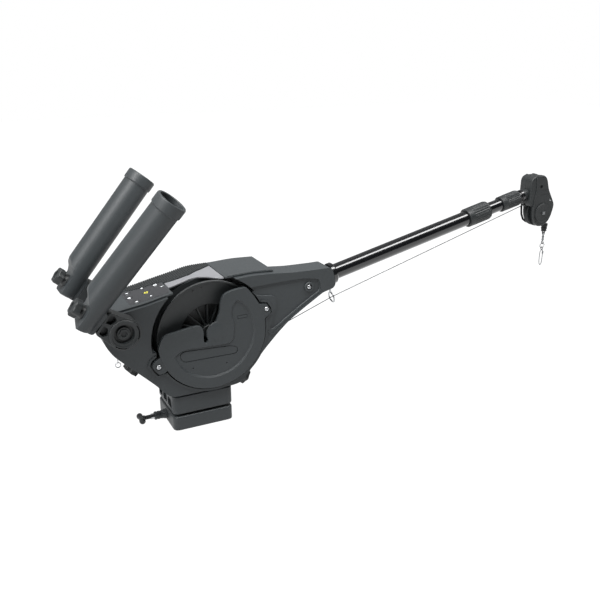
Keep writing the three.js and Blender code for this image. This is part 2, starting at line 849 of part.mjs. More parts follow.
const lipFront = nearFace + spoolSetback - spoolY;
const dishRim = lipFront + rimLipDepth;
const dishHub = dishRim + flangeDish;
const hubWeb = dishHub + hubRecessDepth;

function spool() {
  const half = spoolInnerWidth / 2;
  const end = half + flangeThickness;
  const bore = shaftRadius + touchGap;
  const sleeve = shaftRadius + shaftSleeve;
  const profile = [
    [bore, dishHub],
    [sleeve, dishHub],
    [sleeve, hubWeb],
    [hubRecessRadius, hubWeb],
    [hubRecessRadius, dishHub],
    [flangeRadius - rimLipWidth, dishRim],
    [flangeRadius - rimLipWidth, lipFront],
    [flangeRadius, lipFront],
    [flangeRadius, dishRim + flangeThickness],
    [coreRadius, dishHub + flangeThickness],
    [coreRadius, half],
    [flangeRadius, half],
    [flangeRadius, end],
    [hubRecessRadius, end],
    [hubRecessRadius, hubWeb + wall],
    [sleeve, hubWeb + wall],
    [sleeve, end],
    [bore, end],
  ];
  const finHalf = finThickness / 2;
  const finLeft = sleeve - touchGap;
  const finRight = hubRecessRadius + overrun;
  const fins = [];
  for (let i = 0; i < finCount; i++) {
    const fin = box(finLeft, finRight, dishHub + wall, hubWeb + overrun, -finHalf, finHalf);
    fins.push(fin.rotate([0, (360 * i) / finCount, 0]).translate([spoolX, spoolY, spoolZ]));
  }
  return piece("spool", union(lathe(profile, spoolX, spoolY, spoolZ), ...fins), darkPlastic);
}

// Winding: the layers below as a plain ring, and the outer layer as one helical wire round it.
function helix(radius, pitch, loops) {
  const steps = loops * loopSteps;
  const positions = [];
  const index = [];
  for (let i = 0; i <= steps; i++) {
    const angle = (2 * Math.PI * i) / loopSteps;
    const along = pitch * (i / loopSteps - loops / 2);
    for (let j = 0; j < loopSides; j++) {
      const turn = (2 * Math.PI * j) / loopSides;
      const reach = radius + wireRadius * Math.cos(turn);
      positions.push(reach * Math.cos(angle), along + wireRadius * Math.sin(turn), reach * Math.sin(angle));
    }
  }
  for (let i = 0; i < steps; i++) {
    for (let j = 0; j < loopSides; j++) {
      const a = i * loopSides + j;
      const b = i * loopSides + ((j + 1) % loopSides);
      index.push(a, b, a + loopSides, b, b + loopSides, a + loopSides);
    }
  }
  const last = steps * loopSides;
  for (let j = 1; j < loopSides - 1; j++) {
    index.push(0, j + 1, j, last, last + j, last + j + 1);
  }
  const geometry = new THREE.BufferGeometry();
  geometry.setAttribute("position", new THREE.Float32BufferAttribute(positions, 3));
  geometry.setIndex(index);
  return geometry;
}

function winding() {
  const near = dishHub + flangeThickness + touchGap;
  const far = spoolInnerWidth / 2 - touchGap;
  const turnRadius = windingRadius - wireRadius;
  const layer = turnRadius * Math.cos(Math.PI / loopSteps) - wireRadius - touchGap;
  const pitch = (far - near - 2 * windingEdge - 2 * wireRadius) / windingLoops;
  const middle = spoolY + (near + far) / 2;
  console.log("least gap between turns", (pitch - 2 * wireRadius).toFixed(2), "mm");
  const ring = lathe(
    [[coreRadius + touchGap, near], [layer, near], [layer, far], [coreRadius + touchGap, far]],
    spoolX, spoolY, spoolZ,
  );
  const wire = solid(helix(turnRadius, pitch, windingLoops).translate(spoolX, middle, spoolZ));
  downrigger.add(piece("cable_layers", ring, cableSteel), piece("cable_winding", wire, cableSteel));
}

function drive() {
  const shaft = barY(spoolX, spoolZ, spoolY + dishHub, farWall - touchGap, shaftRadius);
  downrigger.add(piece("spool_shaft", shaft, steel));
  const bearingStart = wellFloor + touchGap;
  const bearing = cut(
    barY(spoolX, spoolZ, bearingStart, bearingStart + bearingWidth, bearingRadius),
    barY(spoolX, spoolZ, bearingStart - overrun, bearingEnd + overrun, shaftRadius + touchGap),
  );
  downrigger.add(piece("shaft_bearing", bearing, steel));
  const gear = cut(
    plate(lobedPoints(gearRadius, gearTeeth, gearRadius * toothDepthShare, 2), gearNear, gearFar)
      .translate([spoolX, 0, spoolZ]),
    barY(spoolX, spoolZ, gearNear - overrun, gearFar + overrun, shaftRadius + touchGap),
  );
  downrigger.add(piece("drive_gear", gear, steel));
  const gearboxNear = gearFar + gearboxGap;
  const shaftEnd = gearboxNear + motorShaftBite;
  const pinion = union(
    plate(lobedPoints(pinionRadius, pinionTeeth, gearRadius * toothDepthShare, 2), gearNear, gearFar)
      .translate([motorX, 0, motorZ]),
    barY(motorX, motorZ, gearNear - runGap, shaftEnd, motorShaftRadius, coarse),
  );
  downrigger.add(piece("motor_pinion", pinion, steel));
  const motor = cut(
    union(
      barY(motorX, motorZ, gearboxNear, gearboxNear + gearboxLength + overrun, gearboxRadius),
      barY(motorX, motorZ, gearboxNear + gearboxLength, farWall - touchGap, motorRadius),
    ),
    barY(motorX, motorZ, gearboxNear - overrun, shaftEnd + touchGap, motorShaftRadius + touchGap, coarse),
  );
  downrigger.add(piece("gear_motor", motor, steel));
}

function electrics() {
  const boardFar = farWall - boardPost - touchGap;
  const board = box(
    boardX - boardLength / 2, boardX + boardLength / 2,
    boardFar - boardThickness, boardFar,
    boardZ - boardHeight / 2, boardZ + boardHeight / 2,
  );
  downrigger.add(piece("control_board", board, boardGreen));
  const flangeNear = farFace + touchGap;
  const flangeFar = flangeNear + inletFlange;
  const socketFloor = flangeNear - inletLength / 2;
  const inlet = cut(
    union(
      barY(inletX, inletZ, flangeNear - inletLength, flangeFar, inletRadius),
      barY(inletX, inletZ, flangeNear, flangeFar, inletFlangeRadius),
    ),
    barY(inletX, inletZ, socketFloor, flangeFar + overrun, inletRadius - inletFlange),
  );
  downrigger.add(piece("power_inlet", inlet, darkPlastic));
}

// Spool cover: most of a disc, open over the upper left of the spool, with two screwed tabs.
const coverOpeningShares = [
  [0.66, 0.8],
  [0.31, 0.773],
  [0.195, 0.706],
  [0.132, 0.546],
  [0.062, 0.242],
  [-0.154, -0.154],
  [-0.14, 0.135],
  [-0.276, 0.214],
];

function coverOutline() {
  const steps = 36;
  const arc = Array.from({ length: steps + 1 }, (_, i) => {
    const angle = (coverStart + (coverSweep * i) / steps) * degrees;
    return [coverRadius * Math.cos(angle), coverRadius * Math.sin(angle)];
  });
  const opening = coverOpeningShares.map(([u, v]) => [u * coverRadius, v * coverRadius]);
  return [...arc, ...opening].map(([x, z]) => [spoolX + x, spoolZ + z]);
}

function spoolCover() {
  const back = coverFront + coverThickness;
  const tabs = screwPlaces.map(([x, z]) => barY(x, z, coverFront, back, tabRadius, coarse));
  const bridges = screwPlaces.map(([x, z]) => {
    const inner = [spoolX + (x - spoolX) * tabBridgeShare, spoolZ + (z - spoolZ) * tabBridgeShare];
    return barBetween(inner, [x, z], (coverFront + back) / 2, coverThickness / 2, 4);
  });
  const holes = screwPlaces.map(([x, z]) =>
    barY(x, z, coverFront - overrun, back + overrun, screwRadius + touchGap, coarse),
  );
  const grooveOuter = coverRadius * coverGrooveShare + coverGrooveWidth / 2;
  const grooveInner = grooveOuter - coverGrooveWidth;
  const groove = cut(
    barY(spoolX, spoolZ, coverFront - overrun, coverFront + coverGrooveDepth, grooveOuter, fine),
    barY(spoolX, spoolZ, coverFront - 2 * overrun, coverFront + 2 * overrun, grooveInner, fine),
  );
  const hollow = barY(spoolX, spoolZ, coverFront + coverSkin, back + overrun, coverRadius - wall, fine);
  const skin = union(plate(coverOutline(), coverFront, back), ...tabs, ...bridges);
  return piece("spool_cover", cut(skin, hollow, groove, ...holes), plastic);
}

// A round-headed screw along Y whose head lies on the plane y.
function screw(name, x, z, y, length) {
  const body = union(
    barY(x, z, y - touchGap - screwHeadHeight, y - touchGap, screwHeadRadius, coarse),
    barY(x, z, y - touchGap - screwHeadHeight / 2, y - touchGap + length, screwRadius, coarse),
  );
  return piece(name, body, steel);
}

// Boom: the socket's ring, three tubes that slide in one another, two locking collars.
function tube(x0, x1, radius, thickness) {
  return cut(barX(0, 0, x0, x1, radius), barX(0, 0, x0 - overrun, x1 + overrun, radius - thickness));
}

function collar(name, tubeEnd, length, radius, ownRadius, nextRadius) {
  const x0 = tubeEnd - length * collarLapShare;
  const x1 = x0 + length;
  const ribStart = x0 + length * collarLapShare;
  const ribs = bar(lobedPoints(radius, collarRibCount, collarRibDepth, 2), ribStart, x1 - collarLip / 2);
  const plain = union(
    barX(0, 0, x0, ribStart + touchGap, radius - collarRibDepth),
    barX(0, 0, x1 - collarLip, x1, radius - 2 * collarRibDepth),
  );
  const body = cut(
    union(ribs, plain),
    barX(0, 0, x0 - overrun, tubeEnd + touchGap, ownRadius + touchGap),
    barX(0, 0, x0 - overrun, x1 + overrun, nextRadius + touchGap),
  );
  return piece(name, onBoom(body), darkPlastic);
}

function boom() {
  const slope = rootRingLength - rootRingChamfer;
  const ring = cut(
    union(
      barX(0, 0, touchGap, slope, rootRingRadius),
      barX(0, 0, slope, rootRingLength, rootRingRadius, medium, rootRingRadius - rootRingChamfer),
    ),
    barX(0, 0, -overrun, rootRingLength + overrun, outerRadius + touchGap),
  );
  downrigger.add(piece("boom_root_ring", onBoom(ring), anodised));
  const outer = tube(-outerInside, outerLength, outerRadius, outerWall);
  const middle = tube(-middleInside, middleEnd, middleRadius, middleWall);
  downrigger.add(
    piece("boom_outer", onBoom(outer), anodised),
    collar("boom_collar_1", outerLength, collarLength1, collarRadius1, outerRadius, middleRadius),
    piece("boom_middle", onBoom(middle), anodised),
    collar("boom_collar_2", middleEnd, collarLength2, collarRadius2, middleRadius, innerRadius),
  );
  const inner = union(
    tube(-innerInside, innerEnd, innerRadius, innerWall),
    barX(0, 0, innerEnd - overrun, innerEnd + tipFlangeLength, tipFlangeRadius),
    barX(0, 0, innerEnd, innerEnd + tipFlangeLength + spigotLength, spigotRadius),
  );
  downrigger.add(piece("boom_inner", onBoom(inner), anodised));
  const eyeTop = -eyeDrop + eyeRadius;
  const eye = union(
    wireRing(eyeRadius, eyeWire).rotate([0, 0, 90]).translate([-eyeBack, 0, -eyeDrop]),
    barZ(-eyeBack, 0, eyeTop, eyeBite - socketRadius, eyeStemRadius, coarse),
    barZ(-eyeBack, 0, -socketRadius - touchGap - eyeNutLength, -socketRadius - touchGap, eyeNutRadius, 6),
  );
  downrigger.add(piece("guide_eye", onBoom(eye), steel));
}

// Pulley head: two cheeks round the wheel, on the spigot at the boom's tip.
const pulleyX = rootX + (innerEnd + pulleyAhead) * tiltCos + pulleyDrop * tiltSin;
const pulleyZ = rootZ + (innerEnd + pulleyAhead) * tiltSin - pulleyDrop * tiltCos;
const headShares = [
  [-1, 0.22],
  [-0.64, 0.17],
  [-0.6, -0.25],
  [-0.4, -0.8],
  [-0.2, -1],
  [0.15, -1],
  [0.58, -0.77],
  [0.82, -0.39],
  [1, 0.11],
  [1, 0.22],
  [0.42, 0.62],
  [0.21, 0.9],
  [0, 1],
  [-0.8, 1],
  [-1, 0.9],
];
const wireReach = grooveRadius + touchGap + wireRadius;
const cableTouch = (() => {
  const bearing = Math.atan2(eyeZ - pulleyZ, eyeX - pulleyX);
  const angle = bearing - Math.acos(wireReach / Math.hypot(eyeX - pulleyX, eyeZ - pulleyZ)) + 2 * Math.PI;
  return { angle, x: pulleyX + wireReach * Math.cos(angle), z: pulleyZ + wireReach * Math.sin(angle) };
})();

function cablePoint(share) {
  return [eyeX + (cableTouch.x - eyeX) * share, eyeZ + (cableTouch.z - eyeZ) * share];
}

function cheek(name, y0, y1) {
  const outline = headShares.map(([u, v]) => [
    pulleyX + u * (u < 0 ? headLeft : headRight),
    pulleyZ + v * (v < 0 ? headBottom : headTop),
  ]);
  const tipEnd = innerEnd + tipFlangeLength;
  const left = pulleyX - 3 * headLeft;
  const side = box(left, pulleyX + headLeft, y0, y1, pulleyZ - headTop, pulleyZ + 2 * headTop);
  const neck = onBoom(barX(0, 0, tipEnd + touchGap, tipEnd + neckLength, neckRadius)).intersect(side);
  const body = cut(
    union(plate(outline, y0, y1), neck),
    onBoom(barX(0, 0, tipEnd - overrun, tipEnd + spigotLength + touchGap, spigotRadius + touchGap)),
    barY(pulleyX, pulleyZ, spoolY - cavityHalf, spoolY + cavityHalf, cavityRadius, fine),
    barY(pulleyX, pulleyZ, spoolY - headHalf - overrun, spoolY + headHalf + overrun, wheelBore, coarse),
    barBetween(cablePoint(headSlotShare), cablePoint(1), spoolY, wireRadius + overrun, wireSides),
  );
  return piece(name, body, plastic);
}

function head() {
  downrigger.add(cheek("head_far", spoolY + touchGap / 2, spoolY + headHalf));
  downrigger.add(cheek("head_near", spoolY - headHalf, spoolY - touchGap / 2));
  const half = wheelWidth / 2;
  const lip = wireRadius + touchGap;
  const wheel = lathe(
    [
      [wheelBore, -half],
      [rimRadius, -half],
      [rimRadius, -half + lip],
      [grooveRadius, -lip],
      [grooveRadius, lip],
      [rimRadius, half - lip],
      [rimRadius, half],
      [wheelBore, half],
    ],
    pulleyX, spoolY, pulleyZ,
  );
  downrigger.add(piece("pulley_wheel", wheel, darkPlastic));
  const nearEnd = spoolY - headHalf - touchGap;
  const discFront = nearEnd - discHeight;
  const farEnd = spoolY + headHalf + touchGap + axleHeadHeight;
  const axle = union(
    barY(pulleyX, pulleyZ, discFront, farEnd, wheelBore - touchGap, coarse),
    barY(pulleyX, pulleyZ, discFront, nearEnd, discRadius),
    barY(pulleyX, pulleyZ, discFront - axleHeadHeight, discFront + discHeight / 2, axleHeadRadius, 6),
  );
  downrigger.add(piece("pulley_axle", axle, darkPlastic));
}

// Cable: from the winding to the guide eye, along under the boom in three stretches, and over the pulley.
function straightCable(name, from, to) {
  const length = Math.hypot(to[0] - from[0], to[1] - from[1]);
  const trim = touchGap / 2 / length;
  const between = (share) => [from[0] + (to[0] - from[0]) * share, from[1] + (to[1] - from[1]) * share];
  const wire = barBetween(between(trim), between(1 - trim), spoolY, wireRadius, wireSides);
  return piece(name, wire, cableSteel);
}

const runShare1 = (outerLength + collarLength1 + eyeBack) / (innerEnd + pulleyAhead + eyeBack);
const runShare2 = (innerEnd + eyeBack) / (innerEnd + pulleyAhead + eyeBack);
const terminalX = pulleyX + wireReach;
const bootTop = pulleyZ - headBottom;

function cable() {
  downrigger.add(straightCable("cable_to_eye", leavePoint(), cablePoint(0)));
  downrigger.add(straightCable("cable_run_1", cablePoint(0), cablePoint(runShare1)));
  downrigger.add(straightCable("cable_run_2", cablePoint(runShare1), cablePoint(runShare2)));
  downrigger.add(straightCable("cable_run_3", cablePoint(runShare2), cablePoint(1)));
  const points = [];
  const steps = 12;
  const start = cableTouch.angle - (touchGap / 2) / wireReach;
  for (let i = 0; i <= steps; i++) {
    const angle = start * (1 - i / steps);
    const x = pulleyX + wireReach * Math.cos(angle);
    points.push(new THREE.Vector3(x, spoolY, pulleyZ + wireReach * Math.sin(angle)));
  }
  points.push(new THREE.Vector3(terminalX, spoolY, bootTop + touchGap));
  const section = circlePoints(wireRadius, wireSides);
  const shape = new THREE.Shape(section.map(([x, y]) => new THREE.Vector2(x, y)));
  const curve = new THREE.CatmullRomCurve3(points, false, "centripetal");
  const way = { steps: 2 * steps, extrudePath: curve, bevelEnabled: false };
  const geometry = new THREE.ExtrudeGeometry(shape, way);
  downrigger.add(piece("cable_over_pulley", solid(geometry), cableSteel));
}

// Terminal: the rubber boot on the cable's end, a swivel, a ring and the snap.
function linkDrop(radius1, wire1, radius2, wire2) {
  return radius1 + radius2 - wire1 - wire2 - touchGap;
}

const bootBottom = bootTop - bootLength;
const loopZ = bootBottom - loopRadius / 2;
const eyeletTopZ = loopZ - linkDrop(loopRadius, loopWire, eyeletRadius, eyeletWire);
const eyeletLowZ = eyeletTopZ - 2 * eyeletRadius - barrelLength;
const ringZ = eyeletLowZ - linkDrop(eyeletRadius, eyeletWire, ringRadius, ringWire);
const snapEyeZ = ringZ - linkDrop(ringRadius, ringWire, eyeletRadius, eyeletWire);

function terminal() {
  const at = (body, z) => body.translate([terminalX, spoolY, z]);
  const boot = union(
    barZ(terminalX, spoolY, bootBottom, bootTop, bootBottomRadius, medium, bootTopRadius),
    at(wireRing(loopRadius, loopWire), loopZ),
  );
  downrigger.add(piece("cable_boot", boot, darkPlastic));
  const crossRing = () => wireRing(eyeletRadius, eyeletWire).rotate([0, 0, 90]);
  const barrelTop = eyeletTopZ - eyeletRadius;
  const swivel = union(
    at(crossRing(), eyeletTopZ),
    barZ(terminalX, spoolY, barrelTop - barrelLength, barrelTop, barrelRadius, coarse),
    at(crossRing(), eyeletLowZ),
  );
  downrigger.add(piece("snap_swivel", swivel, steel));
  downrigger.add(piece("split_ring", at(wireRing(ringRadius, ringWire), ringZ), steel));
  const snapTop = snapEyeZ - eyeletRadius;
  const corner = snapHalfWidth * snapCornerShare;
  const route = [
    [0, 0],
    [snapHalfWidth, -corner],
    [snapHalfWidth, -snapLength + 2 * corner],
    [0, -snapLength],
    [-snapHalfWidth, -snapLength + 2 * corner],
    [-snapHalfWidth, -corner],
    [0, 0],
  ];
  const bars = [];
  for (let i = 1; i < route.length; i++) {
    const joint = new THREE.SphereGeometry(snapWire, wireSides, wireSides / 2);
    bars.push(barBetween(route[i - 1], route[i], 0, snapWire, wireSides));
    bars.push(solid(joint.translate(route[i][0], 0, route[i][1])));
  }
  const snap = union(at(crossRing(), snapEyeZ), at(union(...bars), snapTop));
  downrigger.add(piece("cable_snap", snap, steel));
}

// Rod holder: an arm on the cross shaft, a tube that leans on the arm's end, and its grip knob.
// In the arm's own frame X points back from the tube to the shaft and Z runs up the tube.
const armEnd = tubeOffset - tubeRadius - armTubeGap;

function rodHolder(name, side, tilt, lean) {
  const recess = armHalf - armHubRecess;
  const recessY = side < 0 ? [-armHalf - overrun, -recess] : [recess, armHalf + overrun];
  const arm = cut(
    union(
      barY(0, 0, -armHalf, armHalf, armHubRadius),
      box(-armEnd, 0, -armWidth, armWidth, -armDepth, armDepth),
    ),
    barY(0, 0, ...recessY, armHubBore),
    barY(0, 0, -armHalf - overrun, armHalf + overrun, pivotShaftRadius + touchGap),
    barX(0, 0, -armEnd - overrun, -armEnd + studBite + touchGap, studRadius + touchGap, coarse),
  );
  const web = tubeOffset + scoopWeb;
  const back = tubeOffset + tubeRadius + overrun;
  const holder = cut(
    union(
      barZ(-tubeOffset, 0, -tubeFoot, tubeTop - lipLength / 2, tubeRadius, tubeSides),
      barZ(-tubeOffset, 0, tubeTop - lipLength, tubeTop, lipRadius, tubeSides),
      box(-web, -armEnd - touchGap, -armWidth, armWidth, -tubeFoot, armDepth),
    ),
    barZ(-tubeOffset, 0, tubeFloor, tubeTop + overrun, tubeBore, tubeSides),
    plate(
      [
        [-back, -tubeFoot - overrun],
        [-web, -tubeFoot - overrun],
        [-web, scoopRise - tubeRadius / 2],
        [-back, scoopRise + tubeRadius],
      ],
      -tubeRadius - overrun, tubeRadius + overrun,
    ),
    barX(0, 0, -back, -armEnd + overrun, studRadius + touchGap, coarse),
  );
  const washerEnd = web + touchGap + washerLength;
  const knob = union(
    gripKnob(-washerEnd - knobLength, -washerEnd),
    barX(0, 0, -washerEnd - overrun, -web - touchGap, washerTip, medium, washerRadius),
    barX(0, 0, -washerEnd, -armEnd + studBite, studRadius, coarse),
  );
  const group = new THREE.Group();
  group.position.set(armX, side * armOffset, armZ);
  group.rotation.y = (90 - tilt) * degrees;
  const leaning = new THREE.Group();
  leaning.rotation.x = lean * degrees;
  leaning.add(piece("rod_tube_" + name, holder, plastic), piece("rod_knob_" + name, knob, darkPlastic));
  group.add(piece("rod_arm_" + name, arm, plastic), leaning);
  downrigger.add(group);
}

// Cross shaft of the rod holders, held by a head at each end inside the arms' hubs.
function rodShaft() {
  const end = armOffset + armHalf - armHubRecess + touchGap;
  const body = union(
    barY(armX, armZ, -end - pivotHeadHeight, end + pivotHeadHeight, pivotShaftRadius, coarse),
    barY(armX, armZ, -end - pivotHeadHeight, -end, pivotHeadRadius, 6),
    barY(armX, armZ, end, end + pivotHeadHeight, pivotHeadRadius, 6),
  );
  return piece("rod_shaft", body, steel);
}

// Lanyard ring: a small wire eye screwed into the housing's lower corner.
function lanyardRing() {
  const body = union(
    wireRing(lanyardRadius, lanyardWire).translate([0, 0, -lanyardRadius - touchGap]),
    barZ(0, 0, -lanyardWire, lanyardStem, lanyardWire, 8),
  );
  return piece("lanyard_ring", body.translate([lanyardX, lanyardY, lanyardZ]), steel);
}

downrigger.add(
  basePlate(),
  swivelBracket(),
  pivotBolt(),
  pinNut(),
  lockPin(),
  housingFoot(),
  housingNear(),
  housingRear(),
  clampKnob("clamp_knob_right", rightWall, clampRightShare, clampRightY),
  clampKnob("clamp_knob_left", leftWall, clampLeftShare, clampLeftY),
  piece("label_plate", roofPlate(labelLeft, labelRight, splitPlane + plateGap, panelFarY), plateMetal),
  piece("top_cover", roofPlate(roofLeft, roofRight, roofNearY, roofFarY), plastic),
  spoolCover(),
  screw("cover_screw_right", ...screwPlaces[0], coverFront, screwLength),
  screw("cover_screw_left", ...screwPlaces[1], coverFront, screwLength),
  screw("boom_screw", boomScrewX, boomScrewZ, nearFace + pocketDepth, pocketDepth),
  spool(),
  rodShaft(),
  lanyardRing(),
);
keypad();
winding();
drive();
electrics();
boom();
head();
cable();
terminal();
rodHolder("near", -1, nearTilt, nearLean);
rodHolder("far", 1, farTilt, farLean);

export default downrigger;
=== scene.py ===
# Dresses the packed downrigger: an electric trolling winch with a cable spool under a sculpted cover,
# a telescoping boom with a pulley head, two rod holders and a swivel base. Shapes are modelled in
# millimetres and scaled to metres when a piece is finished. +X runs along the boom, +Y away from the
# spool cover, +Z up.
import math
import bmesh
import bpy
from mathutils import Matrix, Vector


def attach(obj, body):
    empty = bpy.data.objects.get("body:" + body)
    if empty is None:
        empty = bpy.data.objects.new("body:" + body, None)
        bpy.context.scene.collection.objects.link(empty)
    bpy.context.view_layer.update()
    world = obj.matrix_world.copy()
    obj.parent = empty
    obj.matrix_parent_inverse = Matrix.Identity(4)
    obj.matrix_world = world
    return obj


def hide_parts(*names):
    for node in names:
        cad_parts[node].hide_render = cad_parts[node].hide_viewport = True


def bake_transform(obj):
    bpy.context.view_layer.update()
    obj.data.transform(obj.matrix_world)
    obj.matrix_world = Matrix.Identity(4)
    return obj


bl_info = {
    "name": "Downrigger",
    "version": (1, 0, 0),
    "blender": (4, 5, 0),
    "location": "View3D > Sidebar > Downrigger",
    "description": "Models the pieces of an electric downrigger around its packed frame",
    "category": "Object",
}

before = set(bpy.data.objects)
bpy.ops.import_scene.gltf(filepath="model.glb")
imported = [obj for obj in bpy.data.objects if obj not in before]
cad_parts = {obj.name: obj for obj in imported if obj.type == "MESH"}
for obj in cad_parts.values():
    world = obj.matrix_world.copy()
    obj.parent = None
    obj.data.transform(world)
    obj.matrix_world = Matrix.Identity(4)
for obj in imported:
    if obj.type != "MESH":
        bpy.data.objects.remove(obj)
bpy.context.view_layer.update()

# Metres in a millimetre
METRE = 0.001
# How near a vertex lies to a plane that it is on, in millimetres
HAIR = 0.01
# Vertices nearer to each other than this become one
MERGE = 0.001


# Sizes and colours that a user would change
def length(name, description, millimetres):
    return bpy.props.FloatProperty(
        name=name, description=description, default=millimetres * METRE, unit="LENGTH", precision=4)


def hue(name, description, code):
    return bpy.props.FloatVectorProperty(
        name=name, description=description, default=linear(code), size=3, min=0, max=1, subtype="COLOR")


def linear(code):
    """The linear colour of an sRGB hex value."""
    parts = [int(code[i:i + 2], 16) / 255 for i in (1, 3, 5)]
    return tuple(c / 12.92 if c <= 0.04045 else ((c + 0.055) / 1.055) ** 2.4 for c in parts)


class DownriggerSizes(bpy.types.PropertyGroup):
    """Sizes of the pieces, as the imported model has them."""
    spool_x: length("Spool X", "Place of the spool's axis along the boom", 21)
    spool_y: length("Spool Y", "Middle of the spool across the housing", -36)
    spool_z: length("Spool Z", "Height of the spool's axis", 184)
    flange_radius: length("Flange radius", "Radius of the spool's flanges", 102)
    flange_thickness: length("Flange thickness", "Thickness of a flange", 2.5)
    far_flange: length("Far flange", "Inner face of the far flange, from the spool's middle", 20)
    core_radius: length("Core radius", "Radius of the bare spool core", 58)
    winding_radius: length("Winding radius", "Radius over the outer layer of cable", 64)
    wire_radius: length("Wire radius", "Radius of the steel cable", 0.8)
    near_face: length("Near face", "Plane that the spool cover lies on", -58)
    far_face: length("Far face", "Outer plane of the rear half", 62)
    split_plane: length("Split plane", "Plane where the housing's halves meet", -9)
    well_floor: length("Well floor", "Floor of the well that the spool turns in", -12.5)
    wall: length("Wall", "Wall of the housing's halves", 4)
    well_radius: length("Well radius", "Radius of the well round the spool", 108)
    cover_radius: length("Cover radius", "Radius of the spool cover", 104)
    cover_thickness: length("Cover thickness", "Thickness of the spool cover", 6.2)
    touch_gap: length("Touch gap", "Gap left between pieces that touch", 0.3)
    outer_radius: length("Outer tube radius", "Radius of the boom's outer tube", 15.5)
    middle_radius: length("Middle tube radius", "Radius of the boom's middle tube", 13.3)
    inner_radius: length("Inner tube radius", "Radius of the boom's inner tube", 11.3)
    tube_radius: length("Rod tube radius", "Radius of a rod holder's tube", 25)
    tube_bore: length("Rod tube bore", "Radius of the bore for a rod's butt", 22)
    base_length: length("Base length", "Length of the base plate", 118)
    base_width: length("Base width", "Width of the base plate", 106)
    base_height: length("Base height", "Height of the base plate", 28)


class DownriggerColours(bpy.types.PropertyGroup):
    """Colours of the finishes, as the photograph shows them under plain light."""
    housing: hue("Housing", "Moulded charcoal plastic", "#2f3335")
    fittings: hue("Fittings", "Moulded near-black plastic", "#1f2223")
    panel: hue("Panel", "Glossy keypad film", "#242528")
    boom: hue("Boom", "Black anodised tube", "#0c0d0f")
    steel: hue("Steel", "Polished stainless steel", "#b9bbbd")
    cable: hue("Cable", "Stranded stainless cable", "#808284")
    label: hue("Label plate", "Brushed aluminium plate", "#b4b5b9")
    print_white: hue("White print", "White print on the keys", "#c6c9cb")
    print_yellow: hue("Yellow print", "Yellow-green print on a key", "#b3ac35")


def sizes():
    """All sizes in millimetres."""
    group = bpy.context.scene.downrigger_sizes
    names = DownriggerSizes.__annotations__
    return type("Sizes", (), {name: getattr(group, name) / METRE for name in names})


# Materials: what plastics and bare metals have in common
PLASTIC = {"IOR": 1.5, "Metallic": 0.0}
METAL = {"Metallic": 1.0}


def add(tree, kind, settings=(), inputs=()):
    """Adds a node with its settings, and gives its inputs a value or another node's output."""
    node = tree.nodes.new(kind)
    for name, value in dict(settings).items():
        setattr(node, name, value)
    for name, value in dict(inputs).items():
        if isinstance(value, bpy.types.NodeSocket):
            tree.links.new(value, node.inputs[name])
        else:
            node.inputs[name].default_value = value
    return node


def start_material(name, shader):
    """An empty material with its shader's constant sockets set."""
    material = bpy.data.materials.new(name)
    material.use_nodes = True
    tree = material.node_tree
    tree.nodes.clear()
    surface = add(tree, "ShaderNodeBsdfPrincipled", inputs=shader)
    output = add(tree, "ShaderNodeOutputMaterial", inputs={"Surface": surface.outputs["BSDF"]})
    output.target = "ALL"
    return material, tree, surface


def noise(tree, cells, detail=2.0):
    """Noise in the object's own coordinates, with its cells in a metre as one number or for each axis."""
    place = add(tree, "ShaderNodeTexCoord").outputs["Object"]
    if isinstance(cells, tuple):
        place = add(tree, "ShaderNodeMapping", inputs={"Vector": place, "Scale": cells}).outputs["Vector"]
        cells = 1.0
    made = add(tree, "ShaderNodeTexNoise", inputs={"Vector": place, "Scale": cells, "Detail": detail})
    return made.outputs["Fac"]


def vary(tree, surface, colour=None, gloss=None, relief=None):
    """Lets patterns vary a surface.

    Each is a pattern's output with two values: a colour and its spread, the lowest and the highest
    roughness, or a relief's depth in metres and its strength.
    """
    if colour:
        pattern, middle, spread = colour
        mixed = add(tree, "ShaderNodeMixRGB", inputs={
            "Fac": pattern,
            "Color1": tuple(c * (1 - spread) for c in middle) + (1,),
            "Color2": tuple(min(1, c * (1 + spread)) for c in middle) + (1,)})
        tree.links.new(mixed.outputs["Color"], surface.inputs["Base Color"])
    if gloss:
        pattern, low, high = gloss
        span = add(tree, "ShaderNodeMapRange", inputs={"Value": pattern, "To Min": low, "To Max": high})
        tree.links.new(span.outputs["Result"], surface.inputs["Roughness"])
    if relief:
        pattern, depth, strength = relief
        bump = add(tree, "ShaderNodeBump", inputs={
            "Height": pattern, "Distance": depth, "Strength": strength})
        tree.links.new(bump.outputs["Normal"], surface.inputs["Normal"])


def grained(name, shader, colour, gloss, relief=None, detail=2.0):
    """A finish whose colour, roughness and relief follow noise: as for vary, with the noise's cells
    in a metre in place of the pattern."""
    material, tree, surface = start_material(name, shader)
    parts = [part and (noise(tree, part[0], detail), *part[1:]) for part in (colour, gloss, relief)]
    vary(tree, surface, *parts)
    return material


def moulded_abs(name, colour, low, high):
    # Injection-moulded ABS with a spark-eroded grain of about 0.5 mm: an even charcoal with a soft,
    # broken highlight and faint patches from the mould.
    return grained(name, PLASTIC, (35.0, colour, 0.06), (260.0, low, high), (1900.0, 0.00009, 0.5))


def keypad_film():
    # Glossy polyester film over the keypad: near black, with a clear, slightly wavy reflection.
    shader = {**PLASTIC, "Coat Weight": 0.6, "Coat Roughness": 0.08}
    return grained("keypad_film", shader, (60.0, colours().panel, 0.05), (30.0, 0.26, 0.32))


def anodised_tube():
    # Black anodised aluminium, drawn and polished: deep black with a sharp bright highlight and
    # faint drawing lines, about 17 mm wide and 330 mm long so that they show.
    shader = {**PLASTIC, "Coat Weight": 0.9, "Coat Roughness": 0.14}
    lines = (3, 60, 60)
    return grained("anodised_tube", shader, (lines, colours().boom, 0.12), (lines, 0.17, 0.22))


